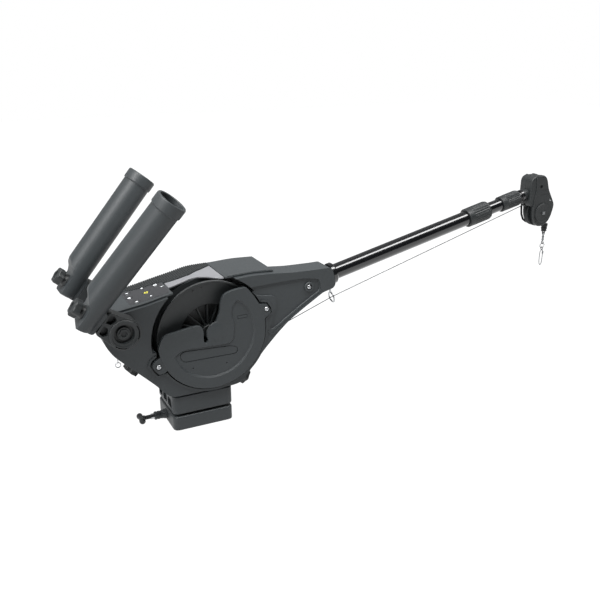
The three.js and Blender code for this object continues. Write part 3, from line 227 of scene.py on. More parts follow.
def polished_steel(name, colour, low, high):
    # Stainless steel, polished and tumbled: bright, with soft fine scratches that blur what it
    # reflects.
    return grained(name, METAL, (200.0, colour, 0.08), (900.0, low, high), (2500.0, 0.00003, 0.3))


def stranded_steel():
    # Seven-strand stainless cable with a lay of about 5 mm, drawn as slanted bands across the wire:
    # grey steel with small dark grooves.
    material, tree, surface = start_material("stranded_steel", {**METAL, "Roughness": 0.34})
    place = add(tree, "ShaderNodeTexCoord")
    slanted = add(tree, "ShaderNodeMapping", inputs={
        "Vector": place.outputs["Object"], "Rotation": (0, math.radians(35), math.radians(25))})
    bands = add(tree, "ShaderNodeTexWave", {"wave_type": "BANDS", "bands_direction": "X"}, {
        "Vector": slanted.outputs["Vector"], "Scale": 190.0, "Distortion": 0.3}).outputs["Fac"]
    vary(tree, surface, (bands, colours().cable, 0.3), relief=(bands, 0.00015, 0.6))
    return material


def brushed_plate():
    # Brushed aluminium plate with a clear lacquer: mid grey with lengthwise hairlines, about 0.4 mm
    # wide and 25 mm long.
    shader = {"Metallic": 0.85, "Coat Weight": 0.25}
    hairs = (40, 2400, 2400)
    return grained("brushed_plate", shader, (hairs, colours().label, 0.12), (hairs, 0.34, 0.5), detail=3.0)


def soft_rubber():
    # Moulded nitrile rubber: black and matt, with a fine dusty grain.
    shader = {"IOR": 1.52, "Metallic": 0.0}
    return grained("soft_rubber", shader, (300.0, linear("#1b1c1d"), 0.12), (700.0, 0.55, 0.75),
                   (1500.0, 0.00008, 0.5))


def key_print(name, colour):
    # Screen-printed ink on the keys: flat and slightly raised, with a soft edge of wear.
    return grained(name, PLASTIC, (900.0, colour, 0.08), (500.0, 0.4, 0.6))


def circuit_board():
    # Glass-fibre board under green solder resist: green with a faint weave of about 1 mm.
    material, tree, surface = start_material("circuit_board", {**PLASTIC, "Roughness": 0.35})
    place = add(tree, "ShaderNodeTexCoord")
    weave = add(tree, "ShaderNodeTexChecker", inputs={
        "Vector": place.outputs["Object"], "Scale": 900.0,
        "Color1": linear("#1f5a34") + (1,), "Color2": linear("#256b3d") + (1,)})
    tree.links.new(weave.outputs["Color"], surface.inputs["Base Color"])
    return material


def colours():
    """All colours, in linear values."""
    group = bpy.context.scene.downrigger_colours
    names = DownriggerColours.__annotations__
    return type("Colours", (), {name: tuple(getattr(group, name)) for name in names})


def finish(name):
    """The finish of that name, made on its first use."""
    made = bpy.data.materials.get(name)
    if made:
        return made
    tints = colours()
    makers = {
        "housing_abs": lambda: moulded_abs(name, tints.housing, 0.42, 0.56),
        "fitting_abs": lambda: moulded_abs(name, tints.fittings, 0.4, 0.55),
        "keypad_film": keypad_film,
        "anodised_tube": anodised_tube,
        "polished_steel": lambda: polished_steel(name, tints.steel, 0.16, 0.3),
        "plain_steel": lambda: polished_steel(name, tints.cable, 0.3, 0.45),
        "stranded_steel": stranded_steel,
        "brushed_plate": brushed_plate,
        "soft_rubber": soft_rubber,
        "white_print": lambda: key_print(name, tints.print_white),
        "yellow_print": lambda: key_print(name, tints.print_yellow),
        "circuit_board": circuit_board,
    }
    return makers[name]()


# Modelling by hand: outlines, slabs, turned pieces, cuts and soft edges
def only(piece):
    """Selects one object alone and makes it active."""
    if bpy.context.object and bpy.context.object.mode != "OBJECT":
        bpy.ops.object.mode_set(mode="OBJECT")
    bpy.ops.object.select_all(action="DESELECT")
    piece.select_set(True)
    bpy.context.view_layer.objects.active = piece


def edit(piece, kind="VERT"):
    only(piece)
    bpy.ops.object.mode_set(mode="EDIT")
    bpy.ops.mesh.select_mode(type=kind)


def tidy_mesh():
    """In edit mode: merges doubles, drops loose edges and points the faces outwards."""
    bpy.ops.mesh.select_all(action="SELECT")
    bpy.ops.mesh.remove_doubles(threshold=MERGE)
    bpy.ops.mesh.delete_loose()
    bpy.ops.mesh.select_all(action="SELECT")
    bpy.ops.mesh.normals_make_consistent(inside=False)
    # a thin outline with hollows can come out inside out as a whole
    if bmesh.from_edit_mesh(bpy.context.object.data).calc_volume(signed=True) < 0:
        bpy.ops.mesh.flip_normals()
    bpy.ops.object.mode_set(mode="OBJECT")


def outline(name, points, fill="NGON"):
    """A ring of as many vertices as there are points, moved to them, all selected in edit mode."""
    bpy.ops.object.select_all(action="DESELECT")
    bpy.ops.mesh.primitive_circle_add(vertices=len(points), radius=1, fill_type=fill)
    piece = bpy.context.object
    piece.name = name
    for vertex, point in zip(piece.data.vertices, points):
        vertex.co = point
    edit(piece)
    bpy.ops.mesh.select_all(action="SELECT")
    return piece


def bowl(name, points, reach, top, floor):
    """A cutter along Y whose outline draws in by reach on its way from top to floor."""
    piece = outline(name, [(u, top, v) for u, v in points])
    bpy.ops.mesh.extrude_region_move(TRANSFORM_OT_translate={"value": (0, floor - top, 0)})
    bpy.ops.object.mode_set(mode="OBJECT")
    low = [v for v in piece.data.vertices if abs(v.co.y - floor) < HAIR]
    for vertex, (u, v) in zip(low, inset(points, reach)):
        vertex.co = (u, floor, v)
    edit(piece)
    tidy_mesh()
    return piece


TURNS = {
    "X": lambda u, v, w: (w, u, v),
    "Y": lambda u, v, w: (u, w, v),
    "Z": lambda u, v, w: (u, v, w),
}


def slab(name, points, start, end, along="Y"):
    """An outline pushed along an axis: [x, z] points along Y, [x, y] along Z, [y, z] along X."""
    turn = TURNS[along]
    piece = outline(name, [turn(u, v, start) for u, v in points])
    bpy.ops.mesh.extrude_region_move(TRANSFORM_OT_translate={"value": Vector(turn(0, 0, end - start))})
    tidy_mesh()
    return piece


def turned(name, profile, steps=48, along="Z", at=(0, 0, 0)):
    """A closed profile of [radius, height] points spun about an axis."""
    piece = outline(name, [(r, 0, h) for r, h in profile], "NOTHING")
    bpy.ops.mesh.spin(steps=steps, angle=2 * math.pi, center=(0, 0, 0), axis=(0, 0, 1), use_auto_merge=True)
    tidy_mesh()
    spin = {"Z": Matrix.Identity(4), "Y": Matrix.Rotation(math.radians(-90), 4, "X"),
            "X": Matrix.Rotation(math.radians(90), 4, "Y")}[along]
    return put(piece, Matrix.Translation(at) @ spin)


def put(piece, matrix):
    """Moves a piece and applies its place to the mesh."""
    only(piece)
    piece.matrix_world = matrix
    bpy.ops.object.transform_apply(location=True, rotation=True, scale=True)
    return piece


def disc(name, radius, start, end, at, along="Y", steps=32, edge=0.0):
    """A round bar from start to end whose rims are chamfered by edge."""
    low, high = min(start, end), max(start, end)
    profile = [(0, low), (radius - edge, low), (radius, low + edge), (radius, high - edge),
               (radius - edge, high), (0, high)]
    if not edge:
        profile = [(0, low), (radius, low), (radius, high), (0, high)]
    place = {"Y": (at[0], 0, at[1]), "Z": (at[0], at[1], 0), "X": (0, at[0], at[1])}[along]
    return turned(name, profile, steps, along, place)


def change(piece, kind, **settings):
    """Adds a modifier and applies it."""
    only(piece)
    modifier = piece.modifiers.new(kind.title(), kind)
    for name, value in settings.items():
        setattr(modifier, name, value)
    bpy.ops.object.modifier_apply(modifier=modifier.name)
    return piece


def cut(piece, *tools, operation="DIFFERENCE"):
    for tool in tools:
        change(piece, "BOOLEAN", object=tool, operation=operation, solver="EXACT")
        bpy.data.objects.remove(tool)
    return piece


def weld(piece, *others):
    return cut(piece, *others, operation="UNION")


def soften(piece, width, steps=2, angle=32):
    """Rounds the edges sharper than an angle."""
    return change(piece, "BEVEL", width=width, segments=steps, limit_method="ANGLE",
                  angle_limit=math.radians(angle), use_clamp_overlap=True, miter_outer="MITER_ARC")


def on(axis, *planes):
    """A test for round_rim: whether a vertex lies on one of the planes across an axis."""
    place = "XYZ".index(axis)
    return lambda co: any(abs(co[place] - plane) < HAIR for plane in planes)


def round_rim(piece, width, steps, test):
    """Rounds the edges whose two ends pass a test of their place."""
    edit(piece, "EDGE")
    bpy.ops.mesh.select_all(action="DESELECT")
    work = bmesh.from_edit_mesh(piece.data)
    for side in work.edges:
        if all(test(v.co) for v in side.verts):
            side.select_set(True)
    bmesh.update_edit_mesh(piece.data)
    bpy.ops.mesh.bevel(offset=width, segments=steps, affect="EDGES", profile=0.5, clamp_overlap=True)
    bpy.ops.object.mode_set(mode="OBJECT")
    return piece


def shade(piece, angle=38):
    only(piece)
    bpy.ops.object.shade_smooth_by_angle(angle=math.radians(angle))
    change(piece, "WEIGHTED_NORMAL", keep_sharp=True, weight=50)
    return piece


def is_open(piece):
    work = bmesh.new()
    work.from_mesh(piece.data)
    count = sum(not side.is_manifold for side in work.edges)
    work.free()
    return count > 0


def close_up(piece):
    """Closes the slivers that cuts and bevels can leave."""
    if not is_open(piece):
        return
    edit(piece)
    bpy.ops.mesh.select_all(action="SELECT")
    bpy.ops.mesh.remove_doubles(threshold=HAIR)
    bpy.ops.mesh.dissolve_degenerate(threshold=HAIR)
    bpy.ops.mesh.delete_loose()
    bpy.ops.mesh.select_all(action="DESELECT")
    bpy.ops.mesh.select_mode(type="EDGE")
    bpy.ops.mesh.select_non_manifold(extend=False, use_wire=False, use_multi_face=False, use_verts=False)
    bpy.ops.mesh.fill_holes(sides=0)
    bpy.ops.object.mode_set(mode="OBJECT")


def hand_over(piece, body, slot, coat, *nodes, angle=38):
    """Finishes a piece: scales it to metres, smooths it, paints it and lets it ride on its body."""
    close_up(piece)
    put(piece, Matrix.Scale(METRE, 4))
    shade(piece, angle)
    piece.data.materials.clear()
    piece.data.materials.append(finish(coat))
    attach(piece, body)
    if nodes:
        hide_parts(*nodes)
    return piece


def wire(name, points, radius, closed=False, smooth=False):
    """A round wire along a line of points, as a mesh."""
    path = bpy.data.curves.new(name, "CURVE")
    path.dimensions = "3D"
    path.bevel_depth = radius
    path.bevel_resolution = 3
    path.use_fill_caps = True
    line = path.splines.new("NURBS" if smooth else "POLY")
    line.points.add(len(points) - 1)
    for spot, place in zip(line.points, points):
        spot.co = (*place, 1)
    line.use_cyclic_u = closed
    piece = bpy.data.objects.new(name, path)
    bpy.context.scene.collection.objects.link(piece)
    only(piece)
    bpy.ops.object.convert(target="MESH")
    piece = bpy.context.object
    edit(piece)
    tidy_mesh()
    return piece


# Outlines that the pieces are made from
def rounded(points, reach, steps=4, closed=True):
    """The outline with each corner made a curve that starts a reach before it."""
    out = []
    count = len(points)
    for i, corner in enumerate(points):
        if not closed and i in (0, count - 1):
            out.append(tuple(corner))
            continue
        middle = Vector(corner)
        ends = []
        for other in (points[i - 1], points[(i + 1) % count]):
            away = Vector(other) - middle
            ends.append(middle + away.normalized() * min(reach, away.length * 0.48))
        for k in range(steps + 1):
            t = k / steps
            out.append(tuple(ends[0] * (1 - t) ** 2 + middle * 2 * t * (1 - t) + ends[1] * t ** 2))
    return out


def box_points(x0, x1, z0, z1):
    return [(x0, z0), (x1, z0), (x1, z1), (x0, z1)]


def angles(count, start=0.0, sweep=360.0, closed=False):
    """Bearings spread over a sweep; closed ones reach its end."""
    steps = count - 1 if closed else count
    return [math.radians(start + sweep * i / steps) for i in range(count)]


def arc(radius, count, start, sweep):
    """Points on a circle round the origin."""
    return [(radius * math.cos(t), radius * math.sin(t)) for t in angles(count, start, sweep, True)]


def sector(inner, outer, start, sweep, steps):
    """The outline of a part of a ring round the origin."""
    return arc(outer, steps, start, sweep) + arc(inner, steps, start, sweep)[::-1]


def lobes(radius, count, depth, steps, centre=(0, 0)):
    """A round outline with hollows between its lobes; without depth a regular polygon."""
    points = []
    for t in angles(count * steps):
        reach = radius - depth * (1 - math.cos(count * t)) / 2
        points.append((centre[0] + reach * math.cos(t), centre[1] + reach * math.sin(t)))
    return points


def polygon(radius, sides, centre=(0, 0)):
    return lobes(radius, sides, 0, 1, centre)


def bead(radius, size, count=12, height=0):
    """The profile of a round wire bent to a ring."""
    return [(radius + size * math.cos(t), height + size * math.sin(t)) for t in angles(count)]


def ring_profile(inner, outer, low, high, edge):
    """The closed profile of a ring with chamfered corners."""
    return [(inner, low + edge), (inner + edge, low), (outer - edge, low), (outer, low + edge),
            (outer, high - edge), (outer - edge, high), (inner + edge, high), (inner, high - edge)]


def mirrored(profile, *middle):
    """A profile with its other half, across height 0."""
    return profile + list(middle) + [(radius, -height) for radius, height in profile[::-1]]


def ribbon(points, width):
    """The closed outline of a band that follows a line."""
    right, left = [], []
    for i, point in enumerate(points):
        along = Vector(points[min(i + 1, len(points) - 1)]) - Vector(points[max(i - 1, 0)])
        side = Vector((along.y, -along.x)).normalized() * width / 2
        right.append(tuple(Vector(point) + side))
        left.append(tuple(Vector(point) - side))
    return right + left[::-1]


def inset(points, reach):
    """The outline moved inwards; its points run anticlockwise."""
    out = []
    for i, point in enumerate(points):
        here = Vector(point)
        before = (here - Vector(points[i - 1])).normalized()
        after = (Vector(points[(i + 1) % len(points)]) - here).normalized()
        a, b = Vector((-before.y, before.x)), Vector((-after.y, after.x))
        out.append(tuple(here + (a + b) * reach / (1 + a.dot(b))))
    return out


# The housing's outline round the spool's centre, as in the CAD source: shares of the reach on each
# side, of the rise above the centre and of the drop below it.
REACH = {"tail": 199, "shoulder": 137, "socket": 255, "rise": 102.7, "drop": 110}
TAIL_SHARES = [
    (-0.05, 0.965), (-0.191, 0.895), (-0.392, 0.815), (-0.588, 0.727), (-0.905, 0.635), (-0.966, 0.555),
    (-0.998, 0.37), (-0.99, 0.185), (-0.92, -0.064), (-0.709, -0.445), (-0.548, -0.736),
    (-0.482, -0.891), (-0.412, -1)]
UNDER_SHARES = [(0.285, -1), (0.416, -0.964), (0.547, -0.764), (0.723, -0.49)]
REAR_SHARES = [(0.942, 0.058), (1.015, 0.545), (1, 0.93)]
SHOULDER_SHARES = [(0.95, 0.98), (0.613, 1), (0.307, 0.976)]
ARM_UNDER_SHARES = [(0.45, -0.34), (0.53, -0.155), (0.62, 0.03), (0.71, 0.185), (0.89, 0.46)]
ARM_TOP_SHARES = [(0.9, 0.935), (0.66, 0.945)]
TAIL_CAVITY_SHARES = [
    (-0.6, 0.66), (-0.9, 0.57), (-0.96, 0.35), (-0.87, -0.05), (-0.68, -0.36), (-0.615, -0.05),
    (-0.59, 0.3)]
SOCKET = {"rise": 75.8, "radius": 21.5}
BOOM_TILT = math.radians(13.34)

# Places that the pieces share, in millimetres: [x, z] for what lies across Y
ARM_PIVOT = (-148, 231)
COVER_SCREWS = [(128.285, 219.481), (-83.992, 142.219)]
BOOM_SCREW = (221.511, 246.879)
INLET = (-98.4, 151)
# Ends of the boom's tubes, the guide eye and the pulley, from the socket's mouth along the boom
OUTER_END, MIDDLE_END, BOOM_END = 352, 442, 486
EYE = (-5.4, -49)
PULLEY = (BOOM_END + 44, -49.4)
# How far the cable's middle runs from the pulley's axis, and half the width of the pulley head
CABLE_REACH = 28.6
HEAD_HALF = 18.5
# Height of the lock pin over the deck, and heights of the base bracket
PIN_HEIGHT = 14
BRACKET_LOW, BRACKET_TOP = 32, 70
# Radii of both cross shafts, of the studs, the lock pin and the axle, of the bolt that the winch
# turns on, of the head's spigot, of the hub in the base, of the inlet's body and of screw holes
SHAFT, STUD, WINCH_BOLT, SPIGOT, HUB = 6, 4, 5, 8, 43
INLET_RADIUS = 11
SCREW_HOLE = 2.7
# The round boss that carries the arms' shaft, on both sides of the housing
ARM_BOSS = {"radius": 20, "reach": 70.7, "edge": 1.2}

# The keys as x, y, height and slope of the roof under them
KEYS = {
    "key_down": (-111.04, 21.76, 256.71, 0.1487),
    "key_stop": (-113.29, -4, 256.38, 0.1487),
    "key_up": (-106.56, -31.6, 257.38, 0.1487),
    "key_auto": (-81.91, -4, 262.23, 0.2277),
    "key_power": (-59.51, 16.24, 267.42, 0.22),
}
ICONS = {
    "key_down": [(-3.4, 1.6), (0, -2.6), (3.4, 1.6)],
    "key_stop": box_points(-2.6, 2.6, -2.6, 2.6),
    "key_up": [(-3.4, -1.6), (3.4, -1.6), (0, 2.6)],
    "key_auto": polygon(3.9, 24),
    "key_power": polygon(3.4, 24),
}
# Printed marks between the keys: their place on the panel and their outline
PANEL_MARKS = [
    (-51, -2.3, [(-2.6, -1.8), (3.2, 0), (-2.6, 1.8)]),
    (-79.3, -27, polygon(1.7, 16)),
    (-82.7, 24, polygon(2, 16)),
]

# Features of the near face, measured on the photograph from the spool's centre
ARM_POCKET = [
    (76, 80), (86, 63), (104, 59), (128, 56), (131, 36), (122, 12), (115, -10), (124, -11), (156, 11),
    (187, 31), (226, 54), (221, 77), (190, 83), (133, 82.5)]
ARM_LIP = [(112, -12), (120, -20), (136, -9.5), (160, 7), (183, 22), (229, 50)]
TABS = [
    [(86, 52), (78, 22), (101.6, 1.2), (102.6, 16.5), (116, 27.1), (114.7, 34.5), (108.3, 44.4),
     (92.8, 46.6)],
    [(-90, -20), (-104.8, -25.6), (-114, -31.8), (-117, -38.5), (-110.5, -50.5), (-105.1, -57),
     (-93.2, -54.9), (-84, -45)],
]
COVER_FLAPS = [
    (79, 70), (67.5, 84.6), (50.6, 84.2), (34.3, 81), (25, 77.4), (19, 71), (15.6, 60), (14.2, 48),
    (10.4, 36), (5, 22), (-1, 9), (-7.6, -3), (-14, -12.6), (-18.6, -9), (-18.8, 0), (-18.4, 10),
    (-20, 20), (-26, 24.4), (-38, 24.6), (-57, 21.8), (-71, 19.4), (-86, 17.4), (-93.5, 13.4), (-98.4, 7)]
INNER_STEP = [
    (49.9, 64.2), (43.6, 61.4), (37.1, 52.6), (34.1, 38.1), (36.2, 26.5), (39.7, 18.3), (37.9, 2.2),
    (36.9, -13), (30, -18), (0, -17.5), (-52, -15.5), (-68, -19), (-77, -29)]
LEFT_TERRACE = [
    (-95, 0), (-90, -13), (-78, -9.5), (-60, -4), (-40, -1.5), (-26, -3), (-22.5, 6), (-26, 15.5),
    (-36, 18), (-56, 15.5), (-72, 12.5), (-88, 12)]
BARE_RECESS = [
    (-64.6, -34.2), (-57.9, -43.1), (44.1, -44), (48.1, -38.3), (47.1, -30.3), (34.5, -25.4),
    (-57.8, -20.4), (-65.4, -26.5)]
COVER_PIPS = [(-40.9, -57.3), (24.9, -59)]
# Plans of the pieces on the roof, as [x, y]
FILM_PLAN = [
    (-121, 34), (-121, -38), (-54, -41), (-47.6, -36), (-47.6, 18), (-60, 23.4), (-81, 24.6),
    (-104, 30.4)]
LABEL_PLAN = [
    (-44.5, -18), (-31, -16.6), (-3, -12.4), (12, -16.5), (25, -25.5), (36, -37), (42, -44.4),
    (52.4, -44.4), (52.4, 36.4), (28, 20), (3, 6), (-32, 8), (-44.5, 10.6)]
GRIP_PLAN = [
    (-119, 41), (-104, 31.6), (-81, 25.8), (-60, 24.6), (-46.4, 20), (-44.4, 12), (-32, 9.4), (3, 7.4),
    (28, 21.4), (52.4, 37.8), (52.4, 57), (-119, 57)]
# The pulley head's side as shares of its reach each way, and the middle line of the ridge on it
HEAD_REACH = {"back": 39, "front": 33, "top": 82, "foot": 31}
HEAD_SHARES = [
    (-1, 0.22), (-0.64, 0.17), (-0.6, -0.25), (-0.4, -0.8), (-0.2, -1), (0.15, -1), (0.58, -0.77),
    (0.82, -0.39), (1, 0.11), (1, 0.22), (0.42, 0.62), (0.21, 0.9), (0, 1), (-0.8, 1), (-1, 0.9)]
HEAD_RIDGE = [(-25, 79), (-23, 60), (-24, 42), (-27, 24), (-28, 8), (-26, -8), (-20, -20), (-10, -27)]
# The hollow under a rod tube, behind its arm
SCOOP = [
    (-100, -30), (-76, -30), (-76, 8), (-77.5, 17), (-82, 25), (-88, 31), (-93, 40), (-97, 54),
    (-100, 54)]


# Places in the part's frame
def around_spool(shares, right):
    s = sizes()
    return [(s.spool_x + u * (REACH["tail"] if u < 0 else right),
             s.spool_z + v * (REACH["drop"] if v < 0 else REACH["rise"])) for u, v in shares]


def from_spool(points):
    s = sizes()
    return [(s.spool_x + u, s.spool_z + v) for u, v in points]


def root_point():
    s = sizes()
    return s.spool_x + REACH["socket"], s.spool_z + SOCKET["rise"]


def boom_frame():
    """From the boom's frame, whose X runs out from the socket's mouth, to the part's."""
    x, z = root_point()
    return Matrix.Translation((x, sizes().spool_y, z)) @ Matrix.Rotation(-BOOM_TILT, 4, "Y")


def near_outline():
    x, z = root_point()
    up = (-SOCKET["radius"] * math.sin(BOOM_TILT), SOCKET["radius"] * math.cos(BOOM_TILT))
    mouth = [(x - up[0], z - up[1]), (x + up[0], z + up[1])]
    return (around_spool(TAIL_SHARES + UNDER_SHARES, REACH["shoulder"])
            + around_spool(ARM_UNDER_SHARES, REACH["socket"]) + mouth
            + around_spool(ARM_TOP_SHARES, REACH["socket"])
            + around_spool(SHOULDER_SHARES, REACH["shoulder"]))


def rear_outline():
    return around_spool(TAIL_SHARES + UNDER_SHARES + REAR_SHARES + SHOULDER_SHARES, REACH["shoulder"])


def roof_line():
    points = around_spool(TAIL_SHARES[4::-1] + SHOULDER_SHARES[::-1], REACH["shoulder"])
    return rounded(points, 16, 4, closed=False)


def roof_at(x):
    line = roof_line()
    for (x0, z0), (x1, z1) in zip(line, line[1:]):
        if x <= x1:
            break
    return z0 + (x - x0) / (x1 - x0) * (z1 - z0)


def in_well(co):
    s = sizes()
    return math.hypot(co.x - s.spool_x, co.z - s.spool_z) < s.well_radius + 1 and co.x < s.spool_x + 60


def eye_point():
    """Middle of the guide eye, which hangs behind the socket's mouth under the boom."""
    return tuple(boom_frame() @ Vector((EYE[0], 0, EYE[1])))


def pulley():
    """The pulley's axis, as x and z."""
    place = boom_frame() @ Vector((PULLEY[0], 0, PULLEY[1]))
    return place.x, place.z


def leave_point():
    """Where the cable leaves the winding for the guide eye."""
    s = sizes()
    x, y, z = eye_point()
    reach = s.winding_radius + s.wire_radius + s.touch_gap
    bearing = math.atan2(z - s.spool_z, x - s.spool_x)
    turn = bearing - math.acos(reach / math.hypot(x - s.spool_x, z - s.spool_z))
    return s.spool_x + reach * math.cos(turn), y, s.spool_z + reach * math.sin(turn)


def touch_turn():
    """The bearing from the pulley's axis at which the cable comes onto the pulley."""
    x, z = pulley()
    eye = eye_point()
    bearing = math.atan2(eye[2] - z, eye[0] - x) + 2 * math.pi
    return bearing - math.acos(CABLE_REACH / math.hypot(eye[0] - x, eye[2] - z))


def cable_point(share):
    """A point of the straight run from the guide eye to the pulley."""
    x, z = pulley()
    eye = Vector(eye_point())
    turn = touch_turn()
    touch = Vector((x + CABLE_REACH * math.cos(turn), eye.y, z + CABLE_REACH * math.sin(turn)))
    return tuple(eye + (touch - eye) * share)


def bore_of(radius):
    """The radius of the hole that a shaft, stud, bolt or tube turns or slides in, to a micron."""
    return round(radius + sizes().touch_gap, 3)


# Housing
def housing_near():
    s = sizes()
    face, parting = s.near_face, s.split_plane - s.touch_gap
    axis = (s.spool_x, s.spool_z)
    on_face = on("Y", face)
    shell = slab("near_shell", rounded(near_outline(), 13), face, parting)
    round_rim(shell, 8, 6, lambda co: on_face(co) and not in_well(co))
    # the well and the tail's room, and the gap round the spool that is wider at the upper left
    cut(shell, slab("left_gap", from_spool(sector(100, 114.6, 96, 92, 40)), face - 9, -18),
        slab("top_gap", from_spool(sector(99, 112, 40, 60, 40)), face - 10, -19),
        disc("well", s.well_radius, face - 20, s.well_floor, axis, steps=96),
        slab("cavity", around_spool(TAIL_CAVITY_SHARES, REACH["socket"]), face + s.wall, parting + 2))
    cut(shell, bowl("flare", from_spool(sector(97, 122, 104, 80, 40)), 6.5, face - 1, face + 6))
    # rim that the spool cover sits inside, with the raised lip under the arm
    rim = slab("rim", from_spool(sector(106.3, 110.4, 206, 170, 48)), face + 1, face - 3)
    lip = slab("lip", from_spool(ribbon(ARM_LIP, 3.4)), face + 1, face - 1.4)
    weld(shell, rim, lip)
    # arm pocket with sloped walls, and the round boss of the boom screw in it
    floor = face + 3.6
    pocket = slab("pocket", rounded(from_spool(ARM_POCKET), 8), face - 6, floor)
    round_rim(pocket, 2.6, 3, on("Y", floor))
    boss = disc("boss", 10, face + 0.4, face + 6, BOOM_SCREW, edge=0.9)
    cut(shell, pocket)
    weld(shell, boss)
    for tab in TABS:
        seat_tab(shell, tab, face, axis)
    socket = put(disc("socket", bore_of(s.outer_radius), -90.3, 4, (0, 0), "X", 48), boom_frame())
    cut(shell, socket, disc("boss_hole", 6, face - 5, face + 2.4, BOOM_SCREW),
        disc("boom_screw_hole", SCREW_HOLE, face, s.spool_y, BOOM_SCREW))
    weld(shell, disc("pivot_boss", ARM_BOSS["radius"], -ARM_BOSS["reach"], face + 2, ARM_PIVOT,
                     edge=ARM_BOSS["edge"]))
    cut(shell, disc("pivot_hole", bore_of(SHAFT), -88, s.split_plane, ARM_PIVOT))
    for place in COVER_SCREWS:
        cut(shell, disc("cover_screw_hole", SCREW_HOLE, face - 9, face + 12, place))
    cut(shell, wire("cable_way", [leave_point(), eye_point()], 2.8))
    soften(shell, 0.6, 2, 40)
    hand_over(shell, "winch", "plastic", "housing_abs", "housing_near")


def seat_tab(shell, tab, face, axis):
    """A raised pad round a tab of the cover, with a moat in it and a seat for the tab in the moat."""
    def beside_cover(piece):
        return cut(piece, disc("cover_room", 110, face - 9, face + 9, axis, steps=96))

    pad = slab("pad", from_spool(rounded(inset(tab, -7), 4, 3)), face + 1, face - 1.8)
    weld(shell, beside_cover(pad))
    cut(shell, slab("moat", from_spool(inset(tab, -3)), face - 9, face + 4.5))
    seat = slab("seat", from_spool(inset(tab, -0.2)), face + 0.2, face + 5)
    weld(shell, beside_cover(seat))


def housing_rear():
    s = sizes()
    face = s.far_face
    axis = (s.spool_x, s.spool_z)
    shell = slab("rear_shell", rounded(rear_outline(), 13), s.split_plane, face)
    round_rim(shell, 6, 5, on("Y", face))
    cut(shell, slab("rear_room", inset(rear_outline(), s.wall), s.split_plane - 2, face - s.wall))
    # raised panel, the boss of the arms' shaft, the bearing's seat and the motor cap on the far side
    share, middle, raised = 0.84, 185, face + 1.6
    drawn_in = [(x * share, middle + (z - middle) * share) for x, z in rear_outline()]
    panel = slab("panel", rounded(drawn_in, 12), face - 1, raised)
    round_rim(panel, 1.2, 3, on("Y", raised))
    boss = disc("far_boss", ARM_BOSS["radius"], face - 2, ARM_BOSS["reach"], ARM_PIVOT,
                edge=ARM_BOSS["edge"])
    bearing = disc("far_bearing", 17, 51, face - 1.7, axis)
    cap = disc("motor_cap", 30, face + 0.7, face + 4.5, axis, edge=2)
    weld(shell, panel, boss, bearing, cap)
    cut(shell, disc("far_hole", bore_of(SHAFT), s.split_plane, 90, ARM_PIVOT),
        disc("shaft_seat", bore_of(SHAFT), 40, face - s.wall, axis),
        disc("inlet_hole", bore_of(INLET_RADIUS), 50, 70, INLET))
    for i in range(5):
        x = s.spool_x + 62 + 9 * i
        slot = rounded(box_points(x, x + 4, s.spool_z - 18, s.spool_z + 34), 1.9)
        cut(shell, slab("vent", slot, 60.4, 70))
    soften(shell, 0.6, 2, 40)
    hand_over(shell, "winch", "plastic", "housing_abs", "housing_rear")


def roof_grip():
    """A ribbed band over the far part of the roof."""
    pitch, count, rib = 4, 44, ((0, 3.4), (0.6, 4.6), (2.2, 4.6), (2.8, 3.4))
    ribs = []
    for i in range(count):
        x = pitch * i - 121
        ribs += [(x + across, roof_at(x + across) + rise) for across, rise in rib]
    under = [(x, roof_at(x) + 0.4) for x in range(54, -122, -5)]
    grip = on_plan(slab("roof_grip", ribs + under, 0, 57), GRIP_PLAN)
    hand_over(grip, "winch", "plastic", "fitting_abs", angle=25)


def power_inlet():
    s = sizes()
    low, radius = s.far_face + s.touch_gap, INLET_RADIUS
    profile = [(0, -14), (radius, -14), (radius, 0), (15, 0), (15, 2), (14, 3), (9, 3), (8, 2.2),
               (8, -7), (0, -7)]
    inlet = turned("inlet", profile, 48, "Y", (INLET[0], low, INLET[1]))
    pins = [disc("pin", 1.2, low - 7.5, low - 1, (INLET[0] + dx, INLET[1])) for dx in (-3.4, 3.4)]
    hand_over(inlet, "winch", "dark_plastic", "fitting_abs", "power_inlet")
    for pin in pins:
        hand_over(pin, "winch", "steel", "plain_steel")


# Keypad and the plates on the roof
def roof_plates():
    keypad = roof_plate("keypad", -158.1, -46.06, -50, 42)
    film = on_plan(roof_plate("film", -125, -46.8, -45, 40, rise=3.55), rounded(FILM_PLAN, 4, 3))
    for x, y, z, slope in KEYS.values():
        for plate in (keypad, film):
            cut(plate, put(disc("key_hole", 6.8, -4, 6, (0, 0), "Z", 40), key_frame(x, y, z, slope)))
    soften(keypad, 0.8, 3, 40)
    hand_over(keypad, "winch", "gloss_plastic", "housing_abs", "keypad_panel")
    soften(film, 0.2, 2, 40)
    hand_over(film, "winch", "gloss_plastic", "keypad_film")
    for i, (x, y, points) in enumerate(PANEL_MARKS):
        mark = slab("panel_mark_%d" % i, points, 3.2, 3.5, "Z")
        put(mark, key_frame(x, y, roof_at(x) + 0.3, 0.22))
        hand_over(mark, "winch", "key_plastic", "white_print")
    label = on_plan(roof_plate("label", -44.56, 54, -48, 42), LABEL_PLAN)
    soften(label, 0.7, 2, 40)
    hand_over(label, "winch", "plate_metal", "brushed_plate", "label_plate")
    top = roof_plate("top", 54, 150.5, -46, 58)
    weld(top, roof_plate("ridge", 58, 148, -45.4, -41, rise=4.6))
    soften(top, 1.1, 3, 40)
    hand_over(top, "winch", "plastic", "housing_abs", "top_cover")


